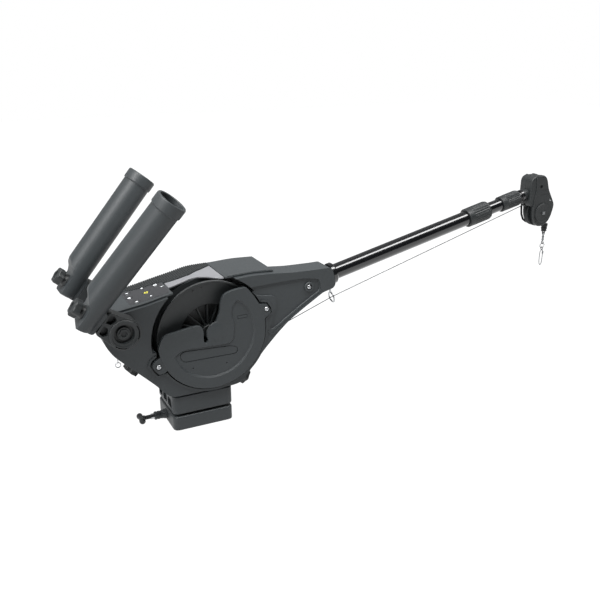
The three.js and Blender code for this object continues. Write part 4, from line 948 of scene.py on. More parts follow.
def roof_plate(name, x0, x1, y0, y1, rise=3.3):
    """A plate that follows the roof a touch gap over it, up to a rise."""
    between = [x for x, _ in roof_line() if x0 + 1 < x < x1 - 1]
    line = [(x, roof_at(x) + 0.3) for x in [x0] + between + [x1]]
    return slab(name, line + [(x, z + rise - 0.3) for x, z in line[::-1]], y0, y1)


def on_plan(piece, plan):
    """Trims a piece of the roof to a plan of [x, y] points."""
    return cut(piece, slab("plan", plan, 200, 320, "Z"), operation="INTERSECT")


def key_frame(x, y, z, slope):
    return Matrix.Translation((x, y, z)) @ Matrix.Rotation(-slope, 4, "Y")


def keys():
    dome = [(0, 0.9), (6.5, 0.9), (6.5, 2.9), (6.2, 3.2), (4, 3.36), (0, 3.4)]
    for name, (x, y, z, slope) in KEYS.items():
        at = key_frame(x, y, z, slope)
        key = put(turned(name + "_cap", dome, 40), at)
        hand_over(key, name, "gloss_plastic", "keypad_film", name)
        mark = slab(name + "_mark", ICONS[name], 3.2, 3.62, "Z")
        if name in ("key_auto", "key_power"):
            cut(mark, disc("hole", 1.7, 2, 5, (0, 0), "Z", 24))
        put(mark, at)
        accent = name == "key_auto"
        slot, coat = ("key_accent", "yellow_print") if accent else ("key_plastic", "white_print")
        hand_over(mark, name, slot, coat)


# Spool cover
def spool_cover():
    s = sizes()
    back = s.near_face - s.touch_gap
    front = back - s.cover_thickness
    edge = arc(s.cover_radius, 97, 184, 208) + rounded(COVER_FLAPS, 5, 3, False)
    cover = slab("cover", from_spool(edge), front, back)
    round_rim(cover, 1.6, 3, on("Y", front))
    for tab in TABS:
        weld(cover, slab("tab", from_spool(rounded(tab, 3, 3)), front + 0.7, back))
    # bulge over the hub, set off from the spool's axis as in the photograph
    bulge = [(0, 2), (22, 2), (21, 0.4), (17, -0.7), (11, -1.5), (5, -1.8), (0, -1.9)]
    weld(cover, turned("bulge", bulge, 64, "Y", (s.spool_x + 9, front, s.spool_z + 5)))
    # soft dish inside the rim with a step down from the hub side, and a terrace at its left
    dish = arc(84, 60, 214, 192) + rounded(INNER_STEP, 8, 4, False)
    cut(cover, bowl("dish", from_spool(dish), 4.5, front - 1, front + 2.6))
    cut(cover, bowl("terrace", from_spool(rounded(LEFT_TERRACE, 8, 5)), 3.4, front - 0.4, front + 1.3))
    # grooves round two bare fields
    groove(cover, rounded(BARE_RECESS, 7, 5), rounded(inset(BARE_RECESS, 1.5), 6, 5), front, 4.2)
    groove(cover, box_points(48.7, 68.8, 24.4, 31.1), box_points(49.6, 67.9, 25.3, 30.2), front, 3.4)
    for u, v in COVER_PIPS:
        cut(cover, disc("pip", 1.3, front - 2, front + 5, (s.spool_x + u, s.spool_z + v)))
    for place in COVER_SCREWS:
        cut(cover, disc("sink", 6.2, front - 4, front + 1.4, place),
            disc("hole", SCREW_HOLE, front - 4, back + 4, place))
    soften(cover, 0.55, 2, 42)
    hand_over(cover, "winch", "plastic", "housing_abs", "spool_cover")


def groove(cover, outer, inner, front, depth):
    """Cuts the band between two outlines into the cover's front."""
    band = slab("band", from_spool(outer), front - 2, front + depth)
    cut(band, slab("field", from_spool(inner), front - 9, front + 9))
    cut(cover, band)


# Spool
def spool():
    s = sizes()
    axis, middle = (s.spool_x, s.spool_z), (s.spool_x, s.spool_y, s.spool_z)
    # heights from the spool's middle: the near flange is dished from its lip to the hub
    lip, rim, hub, far = -14, -12, -4, s.far_flange
    bore, radius, thick = bore_of(SHAFT), s.flange_radius, s.flange_thickness
    far_radius = radius - 3.6
    profile = [
        (bore, hub), (12, hub), (13, hub + 1), (13, hub + 12), (54, hub + 12), (54, hub + 1),
        (55.2, hub - 0.3), (radius - 4.6, rim), (radius - 4.2, lip + 0.6), (radius - 3.4, lip),
        (radius - 0.8, lip), (radius, lip + 0.8), (radius, rim + thick), (s.core_radius, hub + thick),
        (s.core_radius, far), (far_radius, far), (far_radius, far + thick), (54, far + thick), (54, 12),
        (13, 12), (13, far + thick), (bore, far + thick)]
    drum = turned("drum", profile, 128, "Y", middle)
    fins = 16
    hub_place = Matrix.Translation((s.spool_x, s.spool_y + hub + 3.5, s.spool_z))
    upright = Matrix.Rotation(math.radians(-90), 4, "X")
    for i in range(fins):
        fin = slab("fin", box_points(12.5, 54.6, -1.1, 1.1), 0, 9, "Z")
        turn = Matrix.Rotation(math.radians(360 / fins * i), 4, "Y")
        weld(drum, put(fin, hub_place @ (turn @ upright)))
    for bearing in (98, 109):
        t = math.radians(bearing)
        spot = (s.spool_x + 92 * math.cos(t), s.spool_z + 92 * math.sin(t))
        cut(drum, disc("pip", 1.4, -60, -30, spot, steps=16))
    soften(drum, 0.35, 2, 42)
    hand_over(drum, "spool", "dark_plastic", "fitting_abs", "spool")
    shaft = disc("shaft", SHAFT, -40, 57.7, axis, edge=0.8)
    hand_over(shaft, "spool", "steel", "plain_steel", "spool_shaft")
    # the cable's inner layers as one sleeve, and its outer layer as a helix
    low, high = hub + thick + s.touch_gap, far - s.touch_gap
    sleeve = [(58.3, low), (62.2, low), (62.2, high), (58.3, high)]
    layers = turned("layers", sleeve, 96, "Y", middle)
    hand_over(layers, "spool", "cable_steel", "stranded_steel", "cable_layers")
    turns, steps = 7, 48
    start, end = low + 3 * s.wire_radius, high - 3 * s.wire_radius
    reach = s.winding_radius - s.wire_radius
    path = []
    for i in range(turns * steps + 1):
        t = 2 * math.pi * i / steps
        across = s.spool_y + start + (end - start) * i / (turns * steps)
        path.append((s.spool_x + reach * math.cos(t), across, s.spool_z + reach * math.sin(t)))
    winding = wire("winding", path, s.wire_radius)
    hand_over(winding, "spool", "cable_steel", "stranded_steel", "cable_winding")


# Boom
def boom():
    s = sizes()

    def tube(name, profile, body, node):
        piece = put(turned(name, profile, 72, "X"), boom_frame())
        hand_over(piece, body, "black_tube", "anodised_tube", node)

    tube("outer", ring_profile(14, s.outer_radius, -90, OUTER_END, 0.5), "winch", "boom_outer")
    tube("middle", ring_profile(11.9, s.middle_radius, -80, MIDDLE_END, 0.5), "middle", "boom_middle")
    # the inner tube ends in a ring and the spigot that the head turns on
    end, bore = BOOM_END, 9.8
    tube("inner", [
        (bore, -76), (s.inner_radius, -76), (s.inner_radius, end), (13, end), (13.5, end + 0.5),
        (13.5, end + 5.5), (13, end + 6), (SPIGOT, end + 6), (SPIGOT, end + 35.4),
        (SPIGOT - 0.6, end + 36), (0, end + 36), (0, end - 2), (bore, end - 2)], "inner", "boom_inner")
    tube("root_ring", [
        (15.8, 0.3), (21, 0.3), (21.5, 0.8), (21.5, 7.6), (20.6, 8.8), (18.9, 10.6), (18.2, 11),
        (15.8, 11)], "winch", "boom_root_ring")
    collar("collar_1", OUTER_END, 56, 21.2, s.outer_radius, s.middle_radius)
    collar("collar_2", MIDDLE_END, 50, 18, s.middle_radius, s.inner_radius)


def collar(name, tube_end, reach, radius, own, past):
    """A locking collar with grip ribs, on its own tube's end and round the next tube that runs past."""
    start = tube_end - 0.24 * reach
    end = start + reach
    step = start + 0.24 * reach
    collar_ribs = slab(name + "_ribs", lobes(radius - 1, 28, 0.75, 6), step, end - 2, "X")
    ends = turned(name + "_ends", [
        (0, start), (radius, step), (radius + 0.4, step + 1.4), (radius + 0.4, end - 5),
        (radius - 3, end - 2), (0, end)], 96, "X")
    cut(collar_ribs, ends, operation="INTERSECT")
    plain = turned(name + "_plain", [
        (0, start), (radius - 1.8, start), (radius - 1.2, start + 0.8), (radius - 1.2, step + 0.5),
        (0, step + 0.5)], 72, "X")
    tip = turned(name + "_tip", [
        (0, end - 4), (radius - 2.2, end - 4), (radius - 2.2, end - 0.7), (radius - 2.9, end), (0, end)],
        72, "X")
    weld(collar_ribs, plain, tip)
    cut(collar_ribs, disc("own", bore_of(own), start - 2, tube_end + 0.3, (0, 0), "X", 72),
        disc("past", bore_of(past), start - 2, end + 2, (0, 0), "X", 72))
    put(collar_ribs, boom_frame())
    hand_over(collar_ribs, name, "dark_plastic", "fitting_abs", "boom_" + name, angle=30)


def guide_eye():
    """Ring, stem, nut and washer of the eye under the boom's root."""
    x, z = EYE
    ring = turned("eye_ring", bead(10.5, 1.6, 14, x), 48, "X", (0, 0, z))
    weld(ring, disc("eye_stem", 2.2, z + 10.1, -17.5, (x, 0), "Z", 24),
         slab("eye_nut", polygon(5, 6, (x, 0)), -26.3, -21.8, "Z"),
         disc("eye_washer", 6, -22.8, -21.8, (x, 0), "Z"))
    put(ring, boom_frame())
    soften(ring, 0.3, 2, 42)
    hand_over(ring, "winch", "steel", "polished_steel", "guide_eye")


# Pulley head
def head():
    head_half("head_far", 1)
    head_half("head_near", -1)
    x, z = pulley()
    y = sizes().spool_y
    # disc over the axle, with a square-headed steel bolt
    plate = turned("disc", [
        (0, -18.8), (21.5, -18.8), (21.5, -20.2), (20.6, -21), (17.5, -21), (16.8, -20.5), (7, -20.5),
        (6.4, -21), (0, -21)], 72, "Y", (x, y, z))
    weld(plate, disc("axle_bar", STUD, y - 19, y + 21.4, (x, z), edge=0.5))
    soften(plate, 0.3, 2, 42)
    hand_over(plate, "head", "axle_plastic", "fitting_abs", "pulley_axle")
    square = rounded(box_points(x - 3.6, x + 3.6, z - 3.6, z + 3.6), 0.8, 2)
    bolt = slab("axle_bolt", square, y - 20.6, y - 23.4)
    soften(bolt, 0.5, 2, 42)
    hand_over(bolt, "head", "axle_plastic", "plain_steel")
    bore = bore_of(STUD)
    wheel_profile = mirrored([
        (bore, -5.5), (9, -5.5), (10, -4.4), (23, -4.4), (24, -5.5), (31.4, -5.5), (32, -5), (32, -4.3),
        (28.2, -1.3), (27.5, -0.6)])
    wheel = turned("wheel_body", wheel_profile, 96, "Y", (x, y, z))
    hand_over(wheel, "wheel", "dark_plastic", "fitting_abs", "pulley_wheel")


def head_half(name, out):
    """One half of the head with its share of the neck; out is the side that it faces, -1 or 1."""
    x, z = pulley()
    y = sizes().spool_y
    parting, face = y + out * 0.15, y + out * HEAD_HALF
    side = [(x + u * HEAD_REACH["back" if u < 0 else "front"],
             z + v * HEAD_REACH["foot" if v < 0 else "top"]) for u, v in HEAD_SHARES]
    cheek = slab(name + "_shell", rounded(side, 7, 5), *sorted((parting, face)))
    round_rim(cheek, 3.4, 5, on("Y", face))
    neck = put(disc("neck", 12.5, BOOM_END + 6.3, BOOM_END + 30, (0, 0), "X", 48, 0.8), boom_frame())
    cut(neck, slab("other_half", box_points(x - 120, x + 40, z - 80, z + 160), parting, y - out * 60))
    weld(cheek, neck)
    # upright ridge that runs down into an arc round the disc, and two round lobes on top
    crest = face + out * 1.5
    band = rounded([(x + u, z + v) for u, v in ribbon(HEAD_RIDGE, 4.2)], 1.6, 3)
    ridge = slab("ridge", band, face - out, crest)
    round_rim(ridge, 0.9, 3, on("Y", crest))
    weld(cheek, ridge)
    for u in (-24, -6):
        weld(cheek, disc("lobe", 6, face - out * 12, face - out * 1.2, (x + u, z + 77), edge=1))
    brow = rounded([(x - 9, z + 40), (x + 22, z + 40), (x + 12, z + 52), (x - 9, z + 52)], 2)
    cut(cheek, disc("room", 35, y - 6.5, y + 6.5, (x, z), steps=72),
        disc("axle_hole", bore_of(STUD), y - 30, y + 30, (x, z)),
        put(disc("spigot_hole", bore_of(SPIGOT), BOOM_END + 4, BOOM_END + 36.3, (0, 0), "X", 40),
            boom_frame()),
        wire("cable_slot", [cable_point(0.85), cable_point(1)], 2.8),
        slab("square_hole", box_points(x - 14, x - 7, z + 56, z + 62), face - out * 2.2, face + out * 3),
        slab("brow", brow, face - out * 0.9, face + out * 3))
    soften(cheek, 0.7, 3, 38)
    hand_over(cheek, "head", "plastic", "fitting_abs", name)
    rivet = turned(name + "_rivet", [(0, 0), (2.3, 0), (2.1, 0.7), (1.2, 1.2), (0, 1.35)], 24, "Y")
    facing = Matrix.Rotation(math.pi if out < 0 else 0, 4, "X")
    put(rivet, Matrix.Translation((x + 19, face, z + 27)) @ facing)
    hand_over(rivet, "head", "steel", "polished_steel")


# Cable
def cable():
    s = sizes()
    leave, eye = leave_point(), eye_point()
    to_eye = wire("to_eye", [leave, eye], s.wire_radius)
    hand_over(to_eye, "winch", "cable_steel", "stranded_steel", "cable_to_eye")

    def moving(name, points, node):
        """A length of cable along its points, scaled to metres, as a mesh with no parent."""
        run = wire(name, points, s.wire_radius)
        put(run, Matrix.Scale(METRE, 4))
        shade(run)
        run.data.materials.append(finish("stranded_steel"))
        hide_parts(node)
        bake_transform(run)

    # shares of the way from the eye to the pulley at which the runs meet, and points along each run
    stops, steps = [0, 0.77213, 0.917818, 1], 24
    for i, (a, b) in enumerate((("winch", "middle"), ("middle", "inner"), ("inner", "head"))):
        reach = stops[i + 1] - stops[i]
        points = [cable_point(stops[i] + reach * k / steps) for k in range(steps + 1)]
        # the last run is on the head well before it reaches the wheel
        moving("run_%d" % (i + 1), points, "cable_run_%d" % (i + 1))
    # over the pulley and down into the boot
    (x, z), y = pulley(), s.spool_y
    first, down = touch_turn(), x + CABLE_REACH
    over = []
    for i in range(31):
        t = first * (1 - i / 30)
        over.append((x + CABLE_REACH * math.cos(t), y, z + CABLE_REACH * math.sin(t)))
    over += [(down, y, z - 2 * i) for i in range(1, 16)] + [(down, y, 303.2)]
    moving("over", over, "cable_over_pulley")


# Terminal on the cable's end, with heights in the part's frame
def terminal():
    x, y = pulley()[0] + CABLE_REACH, sizes().spool_y

    def upright(name, profile, steps, aside=0):
        return turned(name, profile, steps, "Z", (x + aside, y, 0))

    def ring(name, radius, size, height, across):
        return put(turned(name, bead(radius, size), 36, across), Matrix.Translation((x, y, height)))

    boot = upright("boot_body", [
        (0, 285), (5.2, 285), (6, 285.8), (6.1, 287.6), (5.5, 288.2), (5.6, 290), (6.5, 290.6),
        (6.7, 293.4), (6, 294), (6.1, 296), (7, 296.6), (7.4, 301.6), (6.8, 303), (0, 303)], 40)
    weld(boot, ring("boot_loop", 3.6, 1.1, 283.2, "Y"))
    hand_over(boot, "boot", "boot_rubber", "soft_rubber", "cable_boot")
    barrel = upright("barrel", [
        (0, 260.9), (1.3, 260.9), (1.5, 262.4), (2.5, 263.6), (2.6, 266), (2.1, 266.6), (2.1, 270.4),
        (2.6, 271), (2.5, 273.4), (1.5, 274.6), (1.3, 276.1), (0, 276.1)], 28)
    weld(barrel, ring("eye_top", 3, 1, 279, "X"), ring("eye_low", 3, 1, 258, "X"))
    hand_over(barrel, "swivel", "steel", "plain_steel", "snap_swivel")
    # split ring of nearly two turns, one beside the other
    turns = angles(72, 0, 690, True)
    coil = [(x + 6 * math.cos(t), y - 0.88 + 1.76 * i / 71, 251.2 + 6 * math.sin(t))
            for i, t in enumerate(turns)]
    hand_over(wire("split", coil, 0.45), "ring", "steel", "plain_steel", "split_ring")
    # snap: a long loop of wire with an eye on top and a gate on one side
    half, top, low = 4.4, 241.4, 203.4
    right = [(half * 0.7, top - 2.4), (half, top - 6), (half, low + 12), (half * 0.75, low + 5)]
    route = [(0, top)] + right + [(0, low)] + [(-u, v) for u, v in right[::-1]]
    loop = wire("snap_loop", [(x + u, y, v) for u, v in route], 0.85, closed=True, smooth=True)
    gate = upright("snap_gate", [
        (0, 231), (1.5, 231), (1.7, 231.4), (1.7, 236.6), (1.5, 237), (0, 237)], 20, half)
    weld(loop, ring("snap_eye", 3, 0.95, 244.4, "X"), gate)
    hand_over(loop, "snap", "steel", "plain_steel", "cable_snap")


# Rod holders: each one's side, tilt from the deck and lean on its stud, in degrees
ROD_HOLDERS = (("near", -1, 53, 13.4), ("far", 1, 50, -2))


def rod_holders():
    for name, side, tilt, lean in ROD_HOLDERS:
        place = Matrix.Translation((ARM_PIVOT[0], side * 88, ARM_PIVOT[1]))
        at = place @ Matrix.Rotation(math.radians(90 - tilt), 4, "Y")
        leaning = at @ Matrix.Rotation(math.radians(lean), 4, "X")
        rod_arm(name, side, at)
        rod_tube(name, leaning)
        rod_knob(name, leaning)
    end = 93.3
    shaft = disc("cross_bar", SHAFT, -end - 1, end + 1, ARM_PIVOT, edge=0.6)
    hand_over(shaft, "winch", "steel", "plain_steel", "rod_shaft")
    for name, side, _, _ in ROD_HOLDERS:
        hexagon = polygon(9, 6, ARM_PIVOT)
        nut = slab("shaft_nut_" + name, hexagon, side * (end + 0.1), side * (end + 6))
        cut(nut, disc("nut_room", 6.1, side * 90, side * (end + 1.2), ARM_PIVOT),
            disc("nut_cup", 5.6, side * (end + 2.4), side * (end + 9), ARM_PIVOT))
        soften(nut, 0.6, 2)
        hand_over(nut, "winch", "steel", "fitting_abs")


def rod_arm(name, side, at):
    half = 15
    block = rounded([(-24, 24), (-43, 22), (-43, -22), (-24, -24)], 5, 4, False)
    arm = slab("arm", arc(28, 40, -102, 204) + block, -half, half)
    round_rim(arm, 1.6, 3, on("Y", -half, half))
    weld(arm, disc("hub", 26.4, -17, 17, (0, 0), steps=72, edge=1))
    for sign in (-1, 1):
        hollow = [(-39, 18), (-30, 19.5), (-24.5, 14), (-29.5, 4), (-39, 2.5)]
        hollow = rounded([(u, sign * v) for u, v in hollow], 2)
        cut(arm, slab("hollow", hollow, side * 19, side * 5))
    # stepped bore with the shaft's boss in its floor, and two slots round it
    bore = [(0, 21), (22.6, 21), (22.6, 14.5), (20.4, 13.5), (17.6, 13.5), (16.6, 5), (12, 5), (12, 8.7),
            (11.2, 9.5), (0, 9.5)]
    cut(arm, turned("bore", [(r, side * h) for r, h in bore], 64, "Y"))
    for start, sweep in ((8, 62), (262, 50)):
        cut(arm, slab("arc_slot", sector(23.6, 25.4, start, sweep, 20), side * 11, side * 22))
    cut(arm, disc("shaft_hole", bore_of(SHAFT), -23, 23, (0, 0)),
        disc("stud_hole", bore_of(STUD), -45, -30.7, (0, 0), "X", 24))
    soften(arm, 0.5, 2, 40)
    put(arm, at)
    hand_over(arm, "arm_" + name, "plastic", "fitting_abs", "rod_arm_" + name)


def rod_tube(name, at):
    s = sizes()
    r, bore, half = s.tube_radius, s.tube_bore, 15
    profile = [
        (0, -24), (r - 6, -24), (r - 1.6, -22), (r, -17), (r, 217.6), (r + 0.4, 218.6), (r + 1.7, 219.4),
        (r + 2, 220.4), (r + 2, 236), (r + 0.6, 238), (bore + 0.8, 238), (bore, 237), (bore, 52), (0, 52)]
    tube = turned("holder", profile, 96, "Z", (-70, 0, 0))
    web = slab("web", rounded(box_points(-76, -43.3, -24, 22), 6), -half, half)
    round_rim(web, 3, 4, on("Y", -half, half))
    weld(tube, web)
    cut(tube, slab("scoop", SCOOP, -40, 40), disc("stud_way", bore_of(STUD), -100, -40, (0, 0), "X", 24))
    soften(tube, 1.0, 3, 40)
    put(tube, at)
    hand_over(tube, "tube_" + name, "plastic", "housing_abs", "rod_tube_" + name)


def lobed_grip(start, end, *rims):
    """The grip of a knob along X, with six lobes and its rims rounded."""
    grip = slab("grip", lobes(16, 6, 2.2, 12), start, end, "X")
    return round_rim(grip, 2.6, 4, on("X", *rims))


def rod_knob(name, at):
    face = -97.3
    grip = lobed_grip(-85.3, face, face)
    cone = turned("cone", [(0, -76.3), (12, -76.3), (12, -77.6), (8.4, -84), (8.4, -86), (0, -86)], 48, "X")
    weld(grip, cone, disc("stud", STUD, -80, -31, (0, 0), "X", 24))
    cut(grip, turned("dimple", [(0, -99), (7.5, -99), (7.5, -96), (6.7, -95.4), (0, -95.4)], 48, "X"))
    soften(grip, 0.8, 2, 40)
    put(grip, at)
    hand_over(grip, "knob_" + name, "dark_plastic", "fitting_abs", "rod_knob_" + name)


# Base, bracket and small fittings
def base_shape():
    s = sizes()
    x, y = s.base_length / 2, s.base_width / 2
    return rounded(box_points(-x, x, -y, y), 12, 8)


def base_plate():
    s = sizes()
    plate = slab("plate", base_shape(), 0, s.base_height, "Z")
    round_rim(plate, 3.2, 4, on("Z", s.base_height))
    round_rim(plate, 1.2, 2, on("Z", 0))
    # stepped boss of the lock pin
    weld(plate, turned("pin_boss", [
        (0, -83), (7.4, -83), (8, -82.4), (8, -79), (7.2, -78.6), (7.2, -77), (8, -76.6), (8, -73),
        (7.2, -72.6), (7.2, -71), (8, -70.6), (8, -67), (9.4, -63), (9.4, -50), (0, -50)],
        40, "X", (0, 0, PIN_HEIGHT)))
    for x in (-46, 46):
        for y in (-40, 40):
            cut(plate, disc("deck_hole", 3.4, -2, 40, (x, y), "Z", 24))
    cut(plate, disc("pin_way", bore_of(STUD), -95, -20, (0, PIN_HEIGHT), "X", 24),
        disc("hub_well", bore_of(HUB), 6, 40, (0, 0), "Z", 72),
        disc("pivot_way", bore_of(WINCH_BOLT), 2, 40, (0, 0), "Z", 32))
    soften(plate, 0.6, 2, 40)
    hand_over(plate, "base", "plastic", "housing_abs", "base_plate")


def swivel_bracket():
    s = sizes()
    half_length, half_width, floor = s.base_length / 2, s.base_width / 2, 62
    bracket = slab("bracket", base_shape(), BRACKET_LOW, BRACKET_TOP, "Z")
    round_rim(bracket, 2.4, 4, on("Z", BRACKET_TOP))
    round_rim(bracket, 5, 5, on("Z", BRACKET_LOW))
    weld(bracket, disc("hub", HUB, 6.3, 40, (0, 0), "Z", 72))
    tray = box_points(7 - half_length, half_length - 7, 7 - half_width, half_width - 7)
    cut(bracket, slab("tray", rounded(tray, 6, 6), floor, 80, "Z"))
    for low, high in ((-40, -16), (-10, 14), (20, 42)):
        pocket = rounded(box_points(low, high, 42, 60), 5, 5)
        cut(bracket, slab("side_pocket", pocket, -70, 4 - half_length, "X"))
    pocket = rounded(box_points(-34, 34, 42, 58), 5, 4)
    cut(bracket, slab("far_pocket", pocket, half_width - 3, half_width + 9))
    cut(bracket, disc("pivot_hole", bore_of(WINCH_BOLT), 0, 80, (0, 0), "Z", 32),
        disc("head_well", 9.4, 55, 80, (0, 0), "Z", 32))
    detents = 8
    for i in range(detents):
        detent = disc("detent", bore_of(STUD), 35, 46, (0, PIN_HEIGHT), "X", 24)
        cut(bracket, put(detent, Matrix.Rotation(math.radians(360 / detents * i), 4, "Z")))
    soften(bracket, 0.7, 2, 40)
    hand_over(bracket, "winch", "plastic", "housing_abs", "swivel_bracket")
    foot = slab("foot", rounded(box_points(-51.7, 51.7, -45.7, 45.7), 6, 5), floor + s.touch_gap, 73.7, "Z")
    cut(foot, disc("head_room", 9.3, 60, 68, (0, 0), "Z", 32))
    soften(foot, 1, 2)
    hand_over(foot, "winch", "dark_plastic", "fitting_abs", "housing_foot")


def lock_pin():
    at = (0, PIN_HEIGHT)
    nut = slab("nut", polygon(5.5, 6, at), -90.3, -83.3, "X")
    soften(nut, 0.6, 2)
    cut(nut, disc("nut_way", bore_of(STUD), -95, -80, at, "X", 24))
    hand_over(nut, "base", "steel", "polished_steel", "pin_nut")
    rod = disc("pin_bar", STUD, -108, -45.5, at, "X", 32, 0.8)
    handle = mirrored([(0, -15), (3.4, -15), (5.4, -13.4), (6, -10.5), (5.4, -7), (4.7, -4)], (4.6, 0))
    weld(rod, turned("pin_handle", handle, 40, "Y", (-109, 0, PIN_HEIGHT)),
         disc("pin_collar", 5.2, -106, -101, at, "X", 32, 0.9))
    hand_over(rod, "lock_pin", "dark_plastic", "fitting_abs", "lock_pin")


def clamp_knobs():
    for name, place, axis in (("right", (81.402, -20, 82.14), (0.7749, 0, -0.6321)),
                              ("left", (-100.545, 35, 115.508), (-0.70678, 0, -0.70743))):
        turn = Matrix.Rotation(math.atan2(-axis[2], axis[0]), 4, "Y")
        grip = lobed_grip(10, 22, 10, 22)
        weld(grip, disc("stud", STUD, -5, 11, (0, 0), "X", 24, 0.6),
             disc("neck", 7, 6.5, 11, (0, 0), "X", 32, 1))
        cut(grip, turned("dimple", [(0, 24), (7.5, 24), (7.5, 21), (6.7, 20.2), (0, 20.2)], 48, "X"))
        soften(grip, 0.6, 2, 40)
        put(grip, Matrix.Translation(place) @ turn)
        hand_over(grip, "clamp_" + name, "dark_plastic", "fitting_abs", "clamp_knob_" + name)


def screws():
    s = sizes()
    cover_seat = s.near_face - s.touch_gap - s.cover_thickness + 1.1
    profile = [(0, 12), (2.4, 12), (2.4, 0), (4.4, 0), (4.35, -0.7), (3.7, -1.7), (2.4, -2.3), (0, -2.5)]
    for name, (x, z), seat in (("cover_screw_right", COVER_SCREWS[0], cover_seat),
                               ("cover_screw_left", COVER_SCREWS[1], cover_seat),
                               ("boom_screw", BOOM_SCREW, s.near_face + 2.1)):
        screw = turned(name + "_head", profile, 32, "Y", (x, seat, z))
        cut(screw, slab("socket", polygon(1.9, 6, (x, z)), seat - 4, seat - 0.9))
        soften(screw, 0.15, 1, 50)
        hand_over(screw, "winch", "steel", "polished_steel", name)


def lanyard_ring():
    x, y, z = -152.13, -46, 157.85
    ring = turned("lanyard", bead(4.6, 0.9), 36, "Y", (x, y, 153.25))
    weld(ring, disc("lanyard_stem", 0.9, z - 0.9, z + 16, (x, y), "Z", 16))
    hand_over(ring, "winch", "steel", "polished_steel", "lanyard_ring")


def inner_pieces():
    """The drive and the board stay as the CAD has them, with their own finishes."""
    steel = ("pivot_bolt", "shaft_bearing", "gear_motor", "drive_gear", "motor_pinion")
    for node in (*steel, "control_board"):
        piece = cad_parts[node]
        piece.data.materials.clear()
        piece.data.materials.append(finish("plain_steel" if node in steel else "circuit_board"))


# Operators, one for each group of pieces
class DOWNRIGGER_OT_base(bpy.types.Operator):
    """Models the base plate, the swivel bracket, the foot and the lock pin"""
    bl_idname = "downrigger.base"
    bl_label = "Base"

    def execute(self, context):
        base_plate()
        swivel_bracket()
        lock_pin()
        return {"FINISHED"}


class DOWNRIGGER_OT_housing(bpy.types.Operator):
    """Models the housing's two halves, the grip on the roof and the power inlet"""
    bl_idname = "downrigger.housing"
    bl_label = "Housing"

    def execute(self, context):
        housing_near()
        housing_rear()
        roof_grip()
        power_inlet()
        return {"FINISHED"}


class DOWNRIGGER_OT_top(bpy.types.Operator):
    """Models the keypad, its keys, the label plate and the top cover"""
    bl_idname = "downrigger.top"
    bl_label = "Top plates"

    def execute(self, context):
        roof_plates()
        keys()
        return {"FINISHED"}


class DOWNRIGGER_OT_spool(bpy.types.Operator):
    """Models the spool with its winding and the sculpted cover over it"""
    bl_idname = "downrigger.spool"
    bl_label = "Spool and cover"

    def execute(self, context):
        spool()
        spool_cover()
        return {"FINISHED"}


class DOWNRIGGER_OT_boom(bpy.types.Operator):
    """Models the boom's tubes, its locking collars and the guide eye"""
    bl_idname = "downrigger.boom"
    bl_label = "Boom"

    def execute(self, context):
        boom()
        guide_eye()
        return {"FINISHED"}


class DOWNRIGGER_OT_head(bpy.types.Operator):
    """Models the head's two cheeks, the pulley and its axle"""
    bl_idname = "downrigger.head"
    bl_label = "Pulley head"

    def execute(self, context):
        head()
        return {"FINISHED"}


class DOWNRIGGER_OT_cable(bpy.types.Operator):
    """Models the cable from the winding to the snap that hangs from it"""
    bl_idname = "downrigger.cable"
    bl_label = "Cable"

    def execute(self, context):
        cable()
        terminal()
        return {"FINISHED"}


class DOWNRIGGER_OT_rod_holders(bpy.types.Operator):
    """Models both rod holders on their cross shaft"""
    bl_idname = "downrigger.rod_holders"
    bl_label = "Rod holders"

    def execute(self, context):
        rod_holders()
        return {"FINISHED"}


class DOWNRIGGER_OT_fittings(bpy.types.Operator):
    """Models the screws, the clamp knobs and the lanyard ring, and finishes the inner pieces"""
    bl_idname = "downrigger.fittings"
    bl_label = "Fittings"

    def execute(self, context):
        screws()
        lanyard_ring()
        clamp_knobs()
        inner_pieces()
        return {"FINISHED"}


# Stage
def aim(thing, target):
    thing.rotation_euler = (Vector(target) - thing.location).to_track_quat("-Z", "Y").to_euler()


def softbox(name, place, target, width, height, power):
    bpy.ops.object.light_add(type="AREA", location=place)
    lamp = bpy.context.object
    lamp.name = name
    lamp.data.shape = "RECTANGLE"
    lamp.data.size = width
    lamp.data.size_y = height
    lamp.data.energy = power
    aim(lamp, target)


def pale_floor():
    # Painted studio floor: plain pale, and lit from within for the camera so that it reads as the
    # white backdrop with a faint shadow left.
    material, tree, surface = start_material("pale_floor", {**PLASTIC, "Roughness": 0.8})
    vary(tree, surface, (noise(tree, 8.0), linear("#77797b"), 0.01))
    rays = add(tree, "ShaderNodeLightPath")
    seen = add(tree, "ShaderNodeMath", {"operation": "MAXIMUM"}, {
        0: rays.outputs["Is Camera Ray"], 1: rays.outputs["Is Glossy Ray"]})
    seen = add(tree, "ShaderNodeMath", {"operation": "MAXIMUM"}, {
        0: seen.outputs[0], 1: rays.outputs["Is Transmission Ray"]})
    share = add(tree, "ShaderNodeMath", {"operation": "MULTIPLY"}, {0: seen.outputs[0], 1: 0.8})
    white = add(tree, "ShaderNodeEmission", inputs={"Color": (1, 1, 1, 1), "Strength": 1.245})
    mixed = add(tree, "ShaderNodeMixShader", inputs={
        "Fac": share.outputs[0], 1: surface.outputs["BSDF"], 2: white.outputs["Emission"]})
    tree.links.new(mixed.outputs[0], tree.nodes["Material Output"].inputs["Surface"])
    return material


